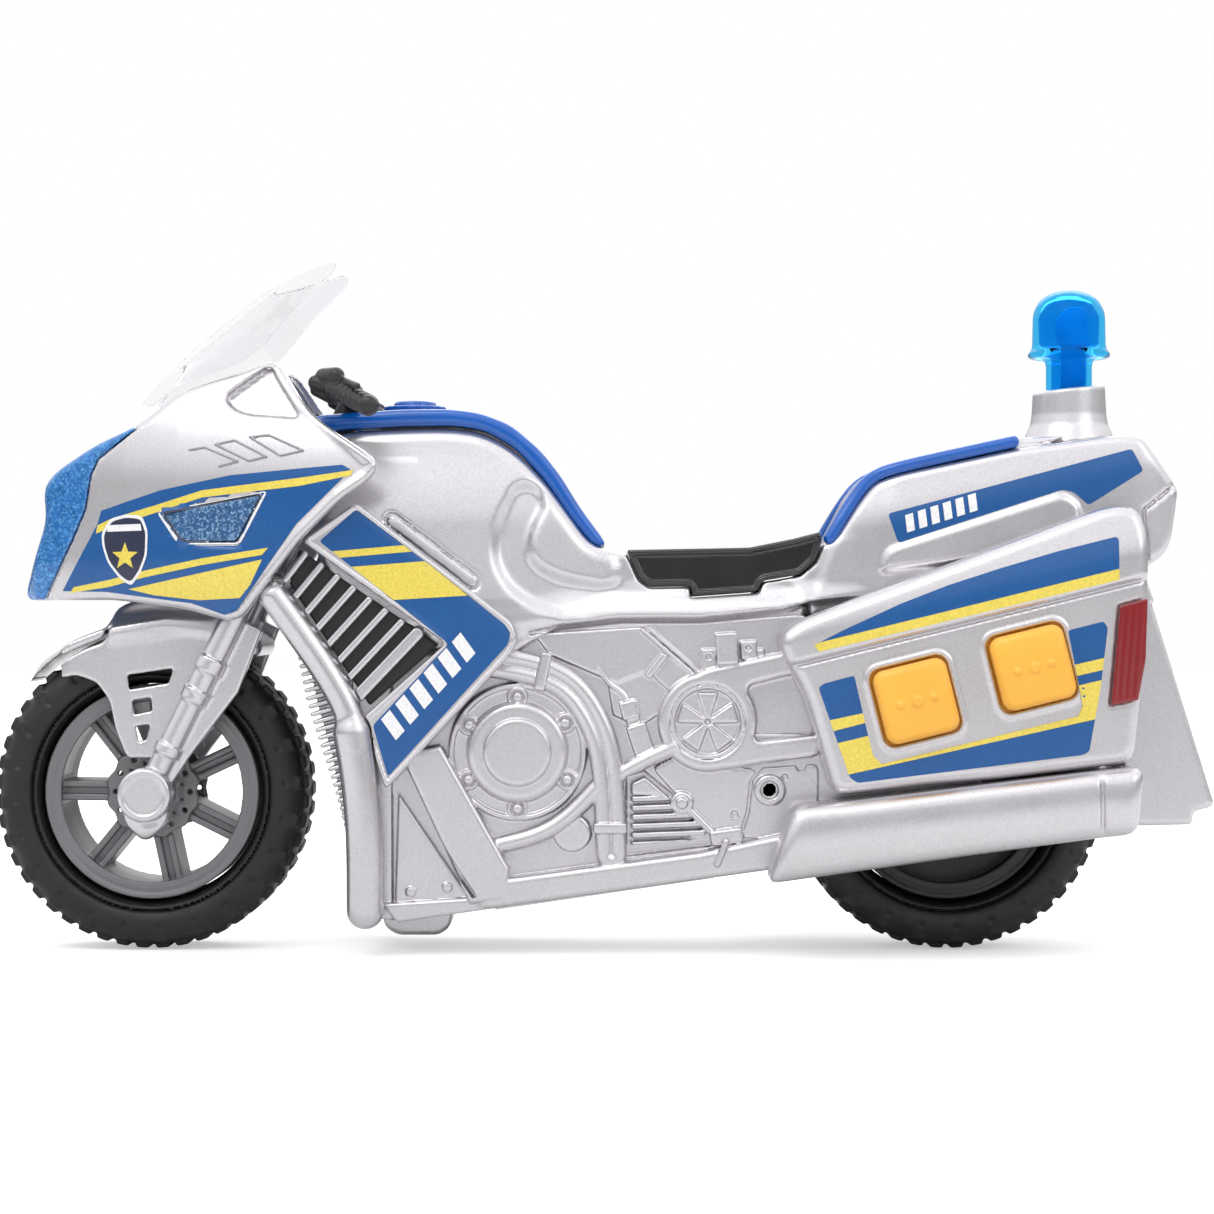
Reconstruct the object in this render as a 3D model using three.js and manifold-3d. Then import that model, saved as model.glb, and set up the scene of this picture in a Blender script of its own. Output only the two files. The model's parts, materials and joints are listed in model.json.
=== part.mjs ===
// A toy police-style motorcycle with light and sound, in millimetres.
// +Z is up, the front wheel points along -X and the left side of the bike faces -Y.
// The origin is on the ground, midway along the bike.

import * as THREE from 'three';
import { mergeVertices } from 'three/addons/utils/BufferGeometryUtils.js';
import Module from 'manifold-3d';

const wasm = await Module();
wasm.setup();

// ---------------------------------------------------------------- driving dimensions

const GAP = 0.3; // clearance between pieces that touch
const WALL = 2; // wall of a moulded shell
const WHEEL_R = 36; // outer radius of both tyres
const TYRE_HALF = 13; // half the width of a tyre
const CROWN_HALF = 8; // half the width of the flat tread
const RIM_R = 24.6; // outer radius of a rim
const AXLE_R = 1.5;
const AXLE_FRONT_X = -103.5;
const AXLE_REAR_X = 78.7;
const CORE_HALF = 21; // half the width of the engine and frame
const TANK_HALF = 22; // half the width of the tank
const TAIL_HALF = 20; // half the width of the tail
const PLATE_IN = 22.4; // inner face of the pieces laid on the sides
const BAG_IN = 21.4; // inner face of a pannier
const BAG_OUT = 34; // outer face of a pannier
const RAKE = THREE.MathUtils.degToRad(26.5); // steering axis, from the vertical
const SLOPE = THREE.MathUtils.degToRad(8.3); // rise of the underside towards the rear
const BUTTON = 16.6; // side of a sound button
const BUTTON_TILT = THREE.MathUtils.degToRad(14);
const CELL_R = 5.2; // AAA cell
const CELL_LENGTH = 44.4;

// ---------------------------------------------------------------- materials

const paint = (color, roughness, metalness) =>
  new THREE.MeshStandardMaterial({ color, roughness, metalness });
const silver = () => paint(0xb4b6b8, 0.35, 0.5);
const blue = () => paint(0x2238a8, 0.3, 0.1);
const black = () => paint(0x17171a, 0.3, 0);
const darkGrey = () => paint(0x47474b, 0.5, 0.1);
const rubber = () => paint(0x1b1b1c, 0.8, 0);
const orange = () => paint(0xf0641e, 0.35, 0);
const red = () => paint(0xa01822, 0.3, 0);
const steel = () => paint(0xc8c8cc, 0.3, 0.9);
const clear = () => paint(0xdde4ea, 0.1, 0);
const green = () => paint(0x1f6b3a, 0.6, 0);

// ---------------------------------------------------------------- shapes

const bike = new THREE.Group();

// A closed outline through [x, z] points, with corners rounded by up to the given radius.
function outline(points, radius = 0) {
  const shape = new THREE.Shape();
  const corner = points.map(([x, z]) => new THREE.Vector2(x, z));
  corner.forEach((here, i) => {
    const before = corner[(i + corner.length - 1) % corner.length];
    const after = corner[(i + 1) % corner.length];
    const into = before.clone().sub(here);
    const out = after.clone().sub(here);
    const reach = Math.min(radius, into.length() * 0.45, out.length() * 0.45);
    const start = here.clone().add(into.setLength(reach));
    const end = here.clone().add(out.setLength(reach));
    if (i === 0) shape.moveTo(start.x, start.y);
    else shape.lineTo(start.x, start.y);
    if (reach > 0) shape.quadraticCurveTo(here.x, here.y, end.x, end.y);
  });
  shape.closePath();
  return shape;
}

function rectangle(x0, z0, x1, z1, radius = 0) {
  return outline([[x0, z0], [x1, z0], [x1, z1], [x0, z1]], radius);
}

// The side-view shape drawn in X and Z, from y0 to y1 across the bike.
function across(shape, y0, y1, { bevel = 0, segments = 2 } = {}) {
  const geometry = new THREE.ExtrudeGeometry(shape, {
    depth: y1 - y0 - 2 * bevel,
    curveSegments: segments,
    bevelEnabled: bevel > 0,
    bevelThickness: bevel,
    bevelSize: bevel,
    bevelOffset: -bevel,
    bevelSegments: 1,
  });
  geometry.rotateX(Math.PI / 2);
  geometry.translate(0, y1 - bevel, 0);
  return geometry;
}

// The plan-view shape drawn in X and Y, from z0 to z1.
function upright(shape, z0, z1, segments = 2) {
  const geometry = new THREE.ExtrudeGeometry(shape, {
    depth: z1 - z0,
    curveSegments: segments,
    bevelEnabled: false,
  });
  geometry.translate(0, 0, z0);
  return geometry;
}

// A round bar across the bike.
function rod(x, z, radius, y0, y1, segments = 14) {
  const geometry = new THREE.CylinderGeometry(radius, radius, y1 - y0, segments);
  geometry.translate(x, (y0 + y1) / 2, z);
  return geometry;
}

// A turned piece from [radius, y] points, about an axis across the bike.
function turned(points, segments, x = 0, z = 0) {
  const geometry = new THREE.LatheGeometry(points.map(([r, y]) => new THREE.Vector2(r, y)), segments);
  geometry.translate(x, 0, z);
  return geometry;
}

// A turned piece from [radius, z] points, about a vertical axis.
function turnedUp(points, segments, x = 0, y = 0) {
  const geometry = new THREE.LatheGeometry(points.map(([r, z]) => new THREE.Vector2(r, z)), segments);
  geometry.rotateX(Math.PI / 2);
  geometry.translate(x, y, 0);
  return geometry;
}

// A tube along [x, z] points at a fixed distance from the middle of the bike.
function tube(points, y, radius, { steps = 6, sides = 8 } = {}) {
  const path = new THREE.CatmullRomCurve3(points.map(([x, z]) => new THREE.Vector3(x, y, z)));
  const section = new THREE.Shape();
  for (let i = 0; i < sides; i += 1) {
    const angle = (i / sides) * Math.PI * 2;
    const corner = [radius * Math.cos(angle), radius * Math.sin(angle)];
    if (i === 0) section.moveTo(...corner);
    else section.lineTo(...corner);
  }
  return new THREE.ExtrudeGeometry(section, { steps, extrudePath: path, bevelEnabled: false });
}

function block(x0, x1, y0, y1, z0, z1) {
  const geometry = new THREE.BoxGeometry(x1 - x0, y1 - y0, z1 - z0);
  geometry.translate((x0 + x1) / 2, (y0 + y1) / 2, (z0 + z1) / 2);
  return geometry;
}

// ---------------------------------------------------------------- joins and cuts

function toSolid(geometry) {
  const bare = geometry.clone();
  bare.deleteAttribute('normal');
  bare.deleteAttribute('uv');
  const merged = mergeVertices(bare, 1e-4);
  return new wasm.Manifold(new wasm.Mesh({
    numProp: 3,
    vertProperties: new Float32Array(merged.attributes.position.array),
    triVerts: new Uint32Array(merged.index.array),
  }));
}

function toGeometry(solid) {
  const mesh = solid.getMesh();
  const geometry = new THREE.BufferGeometry();
  geometry.setAttribute('position', new THREE.BufferAttribute(new Float32Array(mesh.vertProperties), 3));
  geometry.setIndex(new THREE.BufferAttribute(new Uint32Array(mesh.triVerts), 1));
  return geometry;
}

function join(...pieces) {
  return toGeometry(pieces.map(toSolid).reduce((whole, piece) => whole.add(piece)));
}

function cut(body, ...tools) {
  return toGeometry(tools.map(toSolid).reduce((rest, tool) => rest.subtract(tool), toSolid(body)));
}

function common(a, b) {
  return toGeometry(toSolid(a).intersect(toSolid(b)));
}

// The same piece on the other side of the bike.
function mirrored(geometry) {
  const copy = mergeVertices(geometry.clone(), 1e-5);
  copy.scale(1, -1, 1);
  const index = copy.index.array;
  for (let i = 0; i < index.length; i += 3) {
    [index[i + 1], index[i + 2]] = [index[i + 2], index[i + 1]];
  }
  return copy;
}

function add(name, geometry, material, group = bike) {
  geometry.deleteAttribute('uv');
  geometry.computeVertexNormals();
  const mesh = new THREE.Mesh(geometry, material);
  mesh.name = name;
  group.add(mesh);
  return mesh;
}

// A left piece and its mirror image.
function addPair(name, left, material) {
  add(`${name}_left`, left, material());
  add(`${name}_right`, mirrored(left), material());
}

// ---------------------------------------------------------------- main shell

const tankSide = [
  [-64.5, 84], [-65.5, 116.5], [-60, 118.2], [-46, 119], [-34, 119.2], [-27, 118], [-20, 114],
  [-13, 106.5], [-7, 97.5], [-2, 91], [6, 87], [9, 80.3], [-15, 72], [-50, 72],
];
const engineSide = [
  [-57, 73], [-57, 20], [-55, 8.5], [-46, 7], [-26, 10.3], [27, 17.6], [38, 21], [39.5, 30],
  [39.5, 62], [46, 78], [10, 80], [-15, 76],
];
const seatUnder = [
  [5.3, 90.4], [8, 84.5], [10.4, 82.8], [19.7, 83], [19.7, 80.5], [35, 81.6], [36.2, 84.1], [44.7, 85.5],
  [48.2, 88.7], [49.4, 92.4],
];
const seatBase = [[-6, 74], [-4, 90.6], ...seatUnder, [56, 93], [58, 84], [45, 74]];
const tailSide = [
  [46, 76], [52.3, 93.5], [57.6, 102], [61.4, 106.8], [67.5, 108.8], [93.7, 114.4], [114.4, 117.2],
  [121.5, 117.6], [129.9, 105.9], [130.4, 104.4], [128.8, 93.5], [127.2, 90.1], [123.4, 87.8], [116, 80],
  [104, 76],
];
const tailCrown = [[50.9, 93.2], [56.1, 103.6], [60.3, 108.7], [66.7, 111.1], [93, 117], [104, 117.4], [93, 112], [62, 98]];
const CROWN_EDGE = 15.4; // half the width of the raised middle of the tail, between its trims
const lampPocket = [[126.4, 103], [136, 105], [136, 90.4], [124.5, 91.4]];
const swingArm = [[30, 24], [44, 24], [84, 29], [86.5, 36], [84, 43], [44, 50], [30, 50]];

// The battery tray, door and cells follow the sloping underside.
const batteryBay = new THREE.Group();
batteryBay.position.set(0, 0, 14.9);
batteryBay.rotation.y = -SLOPE;

function inBatteryBay(geometry) {
  batteryBay.updateMatrix();
  return geometry.clone().applyMatrix4(batteryBay.matrix);
}

// Where the steering axis is at a given height.
function steeringX(z) {
  return AXLE_FRONT_X + (z - WHEEL_R) * Math.tan(RAKE);
}

// A round bar on the steering axis, between two distances up it from the axle.
function onSteering(radius, low, high, segments = 12) {
  const geometry = new THREE.CylinderGeometry(radius, radius, high - low, segments);
  geometry.translate(0, (low + high) / 2, 0);
  geometry.rotateX(Math.PI / 2);
  geometry.rotateY(RAKE);
  geometry.translate(AXLE_FRONT_X, 0, WHEEL_R);
  return geometry;
}

const HEAD_LOW = 66;
const HEAD_HIGH = 86;
const STEM_TOP = 93;
const LAMP_HALF = 12; // half the width of the rear lamp
const screwPlaces = [[-44, 22], [-24, 80], [32, 70], [112, 96]];

// The hollow of each half, divided by ribs that stiffen the shell.
const pockets = [
  [[-61, 86], [-42.5, 86], [-42.5, 115], [-56, 115], [-58, 108]],
  [[-40, 76], [-17, 76], [-17, 107], [-25, 114], [-40, 116]],
  [[-14.6, 77], [-14.6, 103], [-4, 89.6], [-3, 82]],
  [[-54, 34], [-31.2, 34], [-31.2, 73.6], [-54, 73.6]],
  [[-54, 11.5], [-49, 10.4], [-29, 13], [-29, 31.4], [-54, 31.4]],
  [[-28.8, 34], [-3.2, 37], [-3.2, 73.6], [-28.8, 73.6]],
  [[-0.8, 37.4], [24.8, 41], [24.8, 77], [-0.8, 76]],
  [[27.4, 41], [36.4, 42], [36.4, 76], [27.4, 77]],
  [[59, 80.4], [82, 80.4], [82, 109], [67, 105.6], [60.4, 102]],
  [[84.4, 80.4], [104, 80.4], [104, 112.4], [84.4, 109.6]],
  [[106.4, 82.4], [115, 82.4], [121, 90], [123.2, 103], [120.4, 114.4], [106.4, 113.6]],
];

function engineRelief() {
  const clutch = mirrored(turned([
    [0, 20], [15.3, 20], [15.3, 22.4], [11.4, 22.4], [11.4, 24.4], [7.6, 24.4], [7.6, 23.4], [0, 23.4],
  ], 16)).translate(-19.4, 0, 45.7);
  const sprocket = rod(23.5, 52.5, 9.6, -23.4, -20, 16);
  const plug = rod(-7.1, 27.4, 4, -24.4, -20, 12);
  const caseRing = rod(37.5, 37.1, 6.5, -21.6, -18, 14);
  const arm = across(outline([
    [17, 62], [38.5, 66.4], [38.5, 62.6], [32, 58], [27, 44.5], [38.5, 48.6], [38.5, 44.6], [24, 41.5],
  ]), -22.8, -20);
  const boxes = join(
    across(rectangle(22.6, 61, 27.4, 70.6, 0.8), -23, -20),
    across(rectangle(28, 61, 35, 72, 0.8), -23.6, -20),
  );
  const fins = [0, 1, 2, 3, 4].map((i) => {
    const x = 5 + 3 * i;
    return block(x, x + 1.6, -23, -20, 26.4 + 0.9 * i, 39 - 2 * i);
  });
  const rail = across(outline([[-21, 18.1], [21.7, 24.2], [37, 27], [35.5, 21.4], [-24.4, 11.6]]), -24, -20);
  const braceSide = [[-43.4, 41.2], [-38, 46], [-19, 19.6], [-22, 12.8], [-29.6, 12.2]];
  const brace = across(outline(braceSide), -24, -20);
  const gusset = across(outline([[-45.6, 35.4], [-46.6, 11.6], [-30.4, 12.6]]), -22.4, -20);
  return [clutch, sprocket, plug, caseRing, arm, boxes, ...fins, rail, brace, gusset];
}

function shellHalf() {
  const middle = -GAP / 2;
  const solid = join(
    across(outline(tankSide, 3), -TANK_HALF, middle),
    across(outline(engineSide, 2), -CORE_HALF, middle),
    across(outline(seatBase, 1), -17, middle),
    across(outline(tailSide, 2), -TAIL_HALF, middle),
    across(outline(tailCrown, 1), -CROWN_EDGE, middle),
    across(outline(swingArm, 2), -19.6, -15.4),
    onSteering(7.4, HEAD_LOW, HEAD_HIGH),
    ...engineRelief(),
  );
  const half = common(solid, block(-200, 200, -60, middle, -10, 200));
  const hollow = cut(half, ...pockets.map((points) => across(outline(points), -CORE_HALF + WALL + 1, 1)));
  const bosses = screwPlaces.map(([x, z]) => rod(x, z, 3.8, -TAIL_HALF + 1, middle, 12));
  const bay = inBatteryBay(block(-25.4, 25.4, -17.8, 1, -14, 14.6));
  const slot = inBatteryBay(block(29.4, 38.4, -1.9, 1, -12, 8));
  const holes = screwPlaces.map(([x, z]) => rod(x, z, 1.5, -12, 1, 12));
  return cut(
    join(hollow, ...bosses),
    rod(AXLE_REAR_X, WHEEL_R, WHEEL_R + 2.6, -15.4, 1, 24),
    rod(AXLE_REAR_X, WHEEL_R, AXLE_R + GAP, -18.4, 1, 16),
    onSteering(4.4, HEAD_LOW - 4, HEAD_HIGH + 4),
    onSteering(9, HEAD_HIGH + GAP, 110, 14),
    bay,
    slot,
    across(outline(lampPocket), -LAMP_HALF - GAP, 1),
    ...holes,
  );
}

const shellLeft = shellHalf();
const screwHeads = screwPlaces.map(([x, z]) => join(rod(x, z, 3.2, 17, 60, 14), rod(x, z, 1.6, -1, 60, 12)));
add('main_shell_left', shellLeft, silver());
add('main_shell_right', cut(mirrored(shellLeft), ...screwHeads), silver());

// Four screws go in from the right, under the heads' counterbores, into the left half.
screwPlaces.forEach(([x, z], i) => {
  const screw = join(rod(x, z, 2.6, 14.2 + 3.2, 19.6, 14), rod(x, z, 1.2, -11, 18, 12));
  add(`shell_screw_${i + 1}`, screw, steel());
});

// ---------------------------------------------------------------- battery bay

function batteryPieces() {
  const tray = cut(block(-25, 25, -17.4, 17.4, 0.6, 14.2), block(-23.8, 23.8, -16.4, 16.4, -1, 13.2));
  add('battery_tray', tray, black(), batteryBay);
  [-1, 0, 1].forEach((row, i) => {
    const shoulder = CELL_LENGTH - 1.2;
    const body = turned([
      [0, 0], [CELL_R, 0], [CELL_R, shoulder], [1.9, shoulder], [1.9, CELL_LENGTH], [0, CELL_LENGTH],
    ], 16);
    body.rotateZ(-Math.PI / 2);
    body.translate(-CELL_LENGTH / 2, 0, 0);
    if (row === 0) body.rotateZ(Math.PI);
    const cell = add(`battery_cell_${i + 1}`, body, green(), batteryBay);
    cell.position.set(0, row * 10.8, 6.8);
  });
  add('battery_contact_front', block(-23.4, -22.8, -15.4, 15.4, 2.4, 11.6), steel(), batteryBay);
  add('battery_contact_rear', block(22.8, 23.4, -15.4, 15.4, 2.4, 11.6), steel(), batteryBay);
  const door = cut(block(-25, 25, -17.4, 17.4, -1.6, 0.2), rodUp(19, 0, 1.5, -4, 4));
  add('battery_door', door, silver(), batteryBay);
  const screw = join(rodUp(19, 0, 2.6, -2.9, -1.9), rodUp(19, 0, 1.1, -2.2, 0.5));
  add('battery_door_screw', screw, steel(), batteryBay);
  const knob = join(block(31, 34, -1.5, 1.5, -2.9, 1), block(30.6, 34.4, -1.5, 1.5, 1, 2.6));
  add('power_switch', knob, black(), batteryBay);
}

// A round vertical bar.
function rodUp(x, y, radius, z0, z1, segments = 14) {
  const geometry = new THREE.CylinderGeometry(radius, radius, z1 - z0, segments);
  geometry.rotateX(Math.PI / 2);
  geometry.translate(x, y, (z0 + z1) / 2);
  return geometry;
}

batteryPieces();
bike.add(batteryBay);

// ---------------------------------------------------------------- fairing, lens and screen

const fairingSide = [
  [-134.2, 80], [-127.6, 98.5], [-128.5, 105.5], [-125.4, 109.5], [-115.5, 115], [-105.5, 119.4],
  [-95.9, 127], [-81.9, 131.8], [-73.8, 134.7], [-65.7, 122], [-53, 113.2], [-49.7, 110.5],
  [-51.4, 106.9], [-58.5, 102.1], [-67.5, 93.2], [-76.1, 82.1], [-80, 76.5], [-83.4, 75], [-94.8, 78.1],
  [-111.5, 80],
];
const fairingHollow = [
  [-129.5, 70], [-128.5, 84], [-124.4, 98], [-125.8, 105], [-123.8, 107.6], [-114.4, 112.8], [-104.4, 117],
  [-94.8, 124.7], [-82, 129.4], [-76, 131.4], [-76, 145], [-40, 145], [-40, 70],
];
const fairingPlan = [
  [-134.6, 0], [-133.6, 5], [-130.4, 9.4], [-125.4, 13], [-117.5, 16.8], [-108, 21], [-96, 25], [-83, 28.4],
  [-68, 31.4], [-45, 33.4],
];
const lensSide = [
  [-105.6, 119], [-114.5, 112.3], [-116.2, 108.3], [-117.6, 100.3], [-120.8, 93.5], [-128.2, 79.6],
  [-140, 70], [-140, 122], [-106.4, 122],
];

function planShape(half, shrink) {
  const side = half.map(([x, y]) => [x + (y === 0 ? shrink : 0), Math.max(y - shrink, 0)]);
  const other = side.slice(1).reverse().map(([x, y]) => [x, -y]);
  return outline([...side, ...other], 0);
}

// Moves every edge of an outline outwards by the amount, or inwards if it is negative.
function grown(points, amount) {
  const corner = points.map(([x, z]) => new THREE.Vector2(x, z));
  const turn = Math.sign(THREE.ShapeUtils.area(corner));
  const count = corner.length;
  return corner.map((here, i) => {
    const into = here.clone().sub(corner[(i + count - 1) % count]).normalize();
    const out = corner[(i + 1) % count].clone().sub(here).normalize();
    const normal = new THREE.Vector2(into.y + out.y, -into.x - out.x).normalize();
    const reach = (turn * amount) / Math.max(normal.dot(new THREE.Vector2(into.y, -into.x)), 0.4);
    return here.clone().addScaledVector(normal, reach).toArray();
  });
}

function fairingShell() {
  const outer = common(across(outline(fairingSide, 1), -40, 40), upright(planShape(fairingPlan, 0), 60, 150));
  const inner = common(across(outline(fairingHollow, 1), -40, 40), upright(planShape(fairingPlan, WALL), 60, 150));
  return cut(outer, inner);
}

const fairing = fairingShell();
const sideLight = [[-99, 99.5], [-76.2, 103.5], [-81.8, 93], [-94.5, 93]];
const lightCut = across(outline(sideLight), -40, 40);
add('fairing', cut(fairing, across(outline(grown(lensSide, GAP / 2)), -40, 40), lightCut), silver());
add('headlight_lens', common(fairing, across(outline(grown(lensSide, -GAP / 2)), -40, 40)), blue());
const sideLightLeft = common(
  common(fairing, block(-110, -60, -40, 0, 80, 120)),
  across(outline(grown(sideLight, -GAP)), -40, 0),
);
addPair('side_light', sideLightLeft, blue);
const headlightLamp = join(rod(0, 0, 2.5, 0, 5.4, 12), rod(0, 0, 2.9, 4.4, 6.4, 12));
add('headlight_lamp', headlightLamp.rotateZ(-Math.PI / 2).translate(-121.6, 0, 96), clear());

// A clear sheet, curved round the rider's side, cut to its leaning outline.
function windscreen() {
  const lean = Math.atan2(157.8 - 122, -61 + 105);
  const band = new THREE.Shape();
  const [radius, thick, spread] = [23, 1.6, 0.95];
  band.absarc(0, 0, radius, Math.PI - spread, Math.PI + spread, false);
  band.absarc(0, 0, radius - thick, Math.PI + spread, Math.PI - spread, true);
  const sheet = new THREE.ExtrudeGeometry(band, { depth: 90, curveSegments: 8, bevelEnabled: false });
  sheet.rotateY(Math.PI / 2 - lean);
  sheet.translate(-108, 0, 98);
  const side = [
    [-103, 123.6], [-96, 128.6], [-81.9, 133.4], [-77, 137.4], [-70, 146], [-61, 154.6], [-60.6, 158],
    [-80, 151], [-94, 139.4], [-106, 125],
  ];
  return common(sheet, across(outline(side, 0.8), -40, 40));
}

add('windscreen', windscreen(), clear());

// ---------------------------------------------------------------- tank cover, seat and tail trim

const coverTop = [
  [-66.5, 122], [-46, 123.4], [-35, 123.5], [-28, 122.6], [-21, 119.9], [-14.4, 114.2], [-9.9, 108.5],
  [-5.3, 101], [1, 92.4],
];
const coverUnder = [
  [-2.2, 92], [-7.4, 98.2], [-13.4, 107.1], [-20.3, 114.7], [-27.1, 118.6], [-34, 119.7], [-46, 119.5],
  [-60, 118.7], [-66.3, 117.2],
];
const cover = across(outline([...coverTop, ...coverUnder]), -16, 16, { bevel: 1 });
add('tank_cover', cut(cover, onSteering(9, HEAD_HIGH, 110, 14)), blue());
add('fuel_cap', turnedUp([[0, 123.8], [7.2, 123.8], [7.2, 124.9], [4.4, 126.2], [0, 126.2]], 20, -43.8, 0), silver());

const seatTop = [[49.9, 94.6], [49.2, 96], [43, 94.2], [33, 92.2], [5, 91.9]];
const seat = across(outline([...grown(seatUnder.slice(0, -1), -GAP), ...seatTop]), -18, 18);
add('seat', seat, black());

// A rail along each upper edge of the tail.
const trimSide = [
  [50.6, 93.8], [56, 104], [60.2, 109], [66.6, 111.4], [93, 117.4], [94, 115.1], [67.3, 109.5], [60.8, 107.4],
  [57, 102.4], [52.2, 93.8],
];
addPair('tail_trim', across(outline(trimSide, 0.4), -TAIL_HALF + 0.4, -CROWN_EDGE - GAP), blue);

// ---------------------------------------------------------------- beacon

const BEACON_X = 108.2;
function beacon() {
  const post = turnedUp([[0, 115], [9.6, 115], [9.3, 118.5], [8.3, 126], [8.3, 131], [0, 131]], 24, BEACON_X, 0);
  const above = across(outline([[90, 127.2], [126, 131], [126, 140], [90, 140]]), -12, 12);
  const well = turnedUp([[0, 121], [5.8, 121], [5.8, 140], [0, 140]], 14, BEACON_X, 0);
  const tail = across(outline(tailSide, 2), -TAIL_HALF, TAIL_HALF);
  const crown = across(outline(tailCrown, 1), -CROWN_EDGE, CROWN_EDGE);
  add('beacon_base', cut(post, above, well, tail, crown), silver());
  const dome = turnedUp([
    [0, 151.9], [3.4, 151.5], [6.2, 150], [8, 147.4], [8.45, 144], [8.5, 138.2], [9.45, 137.6], [9.45, 136],
    [5.3, 135.9], [5.3, 123], [3.9, 123], [3.9, 136.6], [6.8, 138.4], [6.8, 143.6], [6.2, 146.2], [4.6, 148.6],
    [2.4, 149.9], [0, 150.2],
  ].reverse(), 18, BEACON_X, 0);
  add('beacon_dome', dome, blue());
  const lamp = turnedUp([[0, 121.4], [2.4, 121.4], [2.4, 140], [1.6, 142], [0, 142.4]], 12, BEACON_X, 0);
  add('beacon_lamp', lamp, clear());
}
beacon();

// ---------------------------------------------------------------- panniers, buttons and electronics

const bagSide = [
  [50.8, 35.6], [44.6, 57.7], [39.9, 66.6], [38.8, 72.1], [43.5, 75.6], [112.1, 101], [118.7, 101],
  [121, 95.3], [121, 79.8], [119.4, 57.7], [118, 43.6],
];
const bagHollow = [
  [53.2, 38.4], [47.4, 58.4], [43.2, 66.8], [46, 74], [112.4, 98.4], [117.6, 98.4], [118.6, 79.8],
  [117, 57.7], [115.6, 46],
];
const buttonPlaces = [[69.2, 57.6], [95, 65]];
const reflectorSide = [[114.4, 78.7], [120.5, 80.3], [120, 66.6], [118.4, 57.8], [112.4, 56.6]];

function squareAt(x, z, side, radius) {
  const geometry = rectangle(-side / 2, -side / 2, side / 2, side / 2, radius);
  const turn = (p) => p.rotateAround(new THREE.Vector2(0, 0), BUTTON_TILT).add(new THREE.Vector2(x, z));
  return outline(geometry.getPoints(2).slice(0, -1).map((p) => turn(p).toArray()));
}

function bag() {
  const outer = across(outline(bagSide, 2), -BAG_OUT, -BAG_IN, { bevel: 1 });
  const recess = across(outline(grown(reflectorSide, GAP), 0), -40, -BAG_OUT + 0.8);
  return cut(outer, across(outline(bagHollow, 2), -BAG_OUT + WALL, -BAG_IN + 1), recess);
}

const leftBag = bag();
const buttonHoles = buttonPlaces.map(([x, z]) => across(squareAt(x, z, BUTTON + 0.9, 2), -40, -30));
add('pannier_left', cut(leftBag, ...buttonHoles), silver());
const soundSlots = [-3, -2, -1, 0, 1, 2, 3].map((i) => {
  const [reach, z] = [12 - Math.abs(i), 65.2 + 3 * i];
  return block(82 - reach, 82 + reach, 30, 40, z, z + 1.6);
});
add('pannier_right', cut(mirrored(leftBag), ...soundSlots), silver());

buttonPlaces.forEach(([x, z], i) => {
  const cap = across(squareAt(x, z, BUTTON, 2), -38, -31.2, { bevel: 0.8 });
  const flange = across(squareAt(x, z, BUTTON + 3, 1), -31.6, -30.2);
  const plunger = rod(x, z, 2.4, -30.8, -27.4, 12);
  add(`button_${i === 0 ? 'front' : 'rear'}`, join(cap, flange, plunger), orange());
});

const board = join(
  across(rectangle(58, 48, 110, 76, 1), -24, -22.4),
  ...buttonPlaces.map(([x, z]) => rod(x, z, 3, -25.2, -23.8, 12)),
  across(rectangle(80, 50, 88, 56), -26, -23.8),
);
add('circuit_board', board, green());
const speaker = turned([
  [0, 23], [9, 23], [9, 26.4], [13.6, 28.4], [13.6, 31.2], [11.6, 31.2], [3, 28.2], [0, 28.8],
], 18, 82, 66);
add('speaker', speaker, black());

addPair('reflector', across(outline(reflectorSide, 0.6), -BAG_OUT - 0.6, -BAG_OUT + 0.5), red);
const lampSide = [[126.7, 102.7], [129.7, 103.3], [128.3, 94], [127, 91.5], [124.9, 91.7]];
add('rear_lamp', across(outline(lampSide, 0.4), -LAMP_HALF, LAMP_HALF), red());

// ---------------------------------------------------------------- silencers, crash tubes, side panels

const silencerSide = [
  [36, 17], [42, 34.2], [54.3, 35.2], [109.4, 42], [119.6, 43.2], [118.2, 28.1], [109.4, 27.2],
];
function silencer() {
  const can = across(outline(silencerSide), -38, -21.4, { bevel: 3 });
  const outlet = rod(0, 0, 4, 0, 12, 12).rotateZ(Math.PI / 2).translate(124, -30.5, 35);
  return cut(can, outlet);
}
addPair('silencer', silencer(), silver);

const tubeUpper = [[-74, 80.9], [-66.9, 71.2], [-61.4, 63], [-57.2, 55.4], [-55.4, 46]];
const tubeLower = [[-55.8, 48], [-54.4, 38], [-53.6, 24], [-53.4, 8]];
function crashTube(extra = 0) {
  return join(tube(tubeUpper, -25.4, 3.2 + extra), tube(tubeLower, -25.4, 4 + extra));
}
addPair('crash_tube', crashTube(), silver);

const panelSide = [
  [-67.8, 93.3], [-55.5, 101.8], [-20.4, 74.9], [-19.1, 70.9], [-20.9, 67.6], [-48.8, 37.4], [-54, 53.5],
  [-35.4, 70.3],
];
const panel = across(outline(panelSide), -27, -PLATE_IN, { bevel: 0.5 });
addPair('side_panel', cut(panel, crashTube(0.4)), silver);

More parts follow.
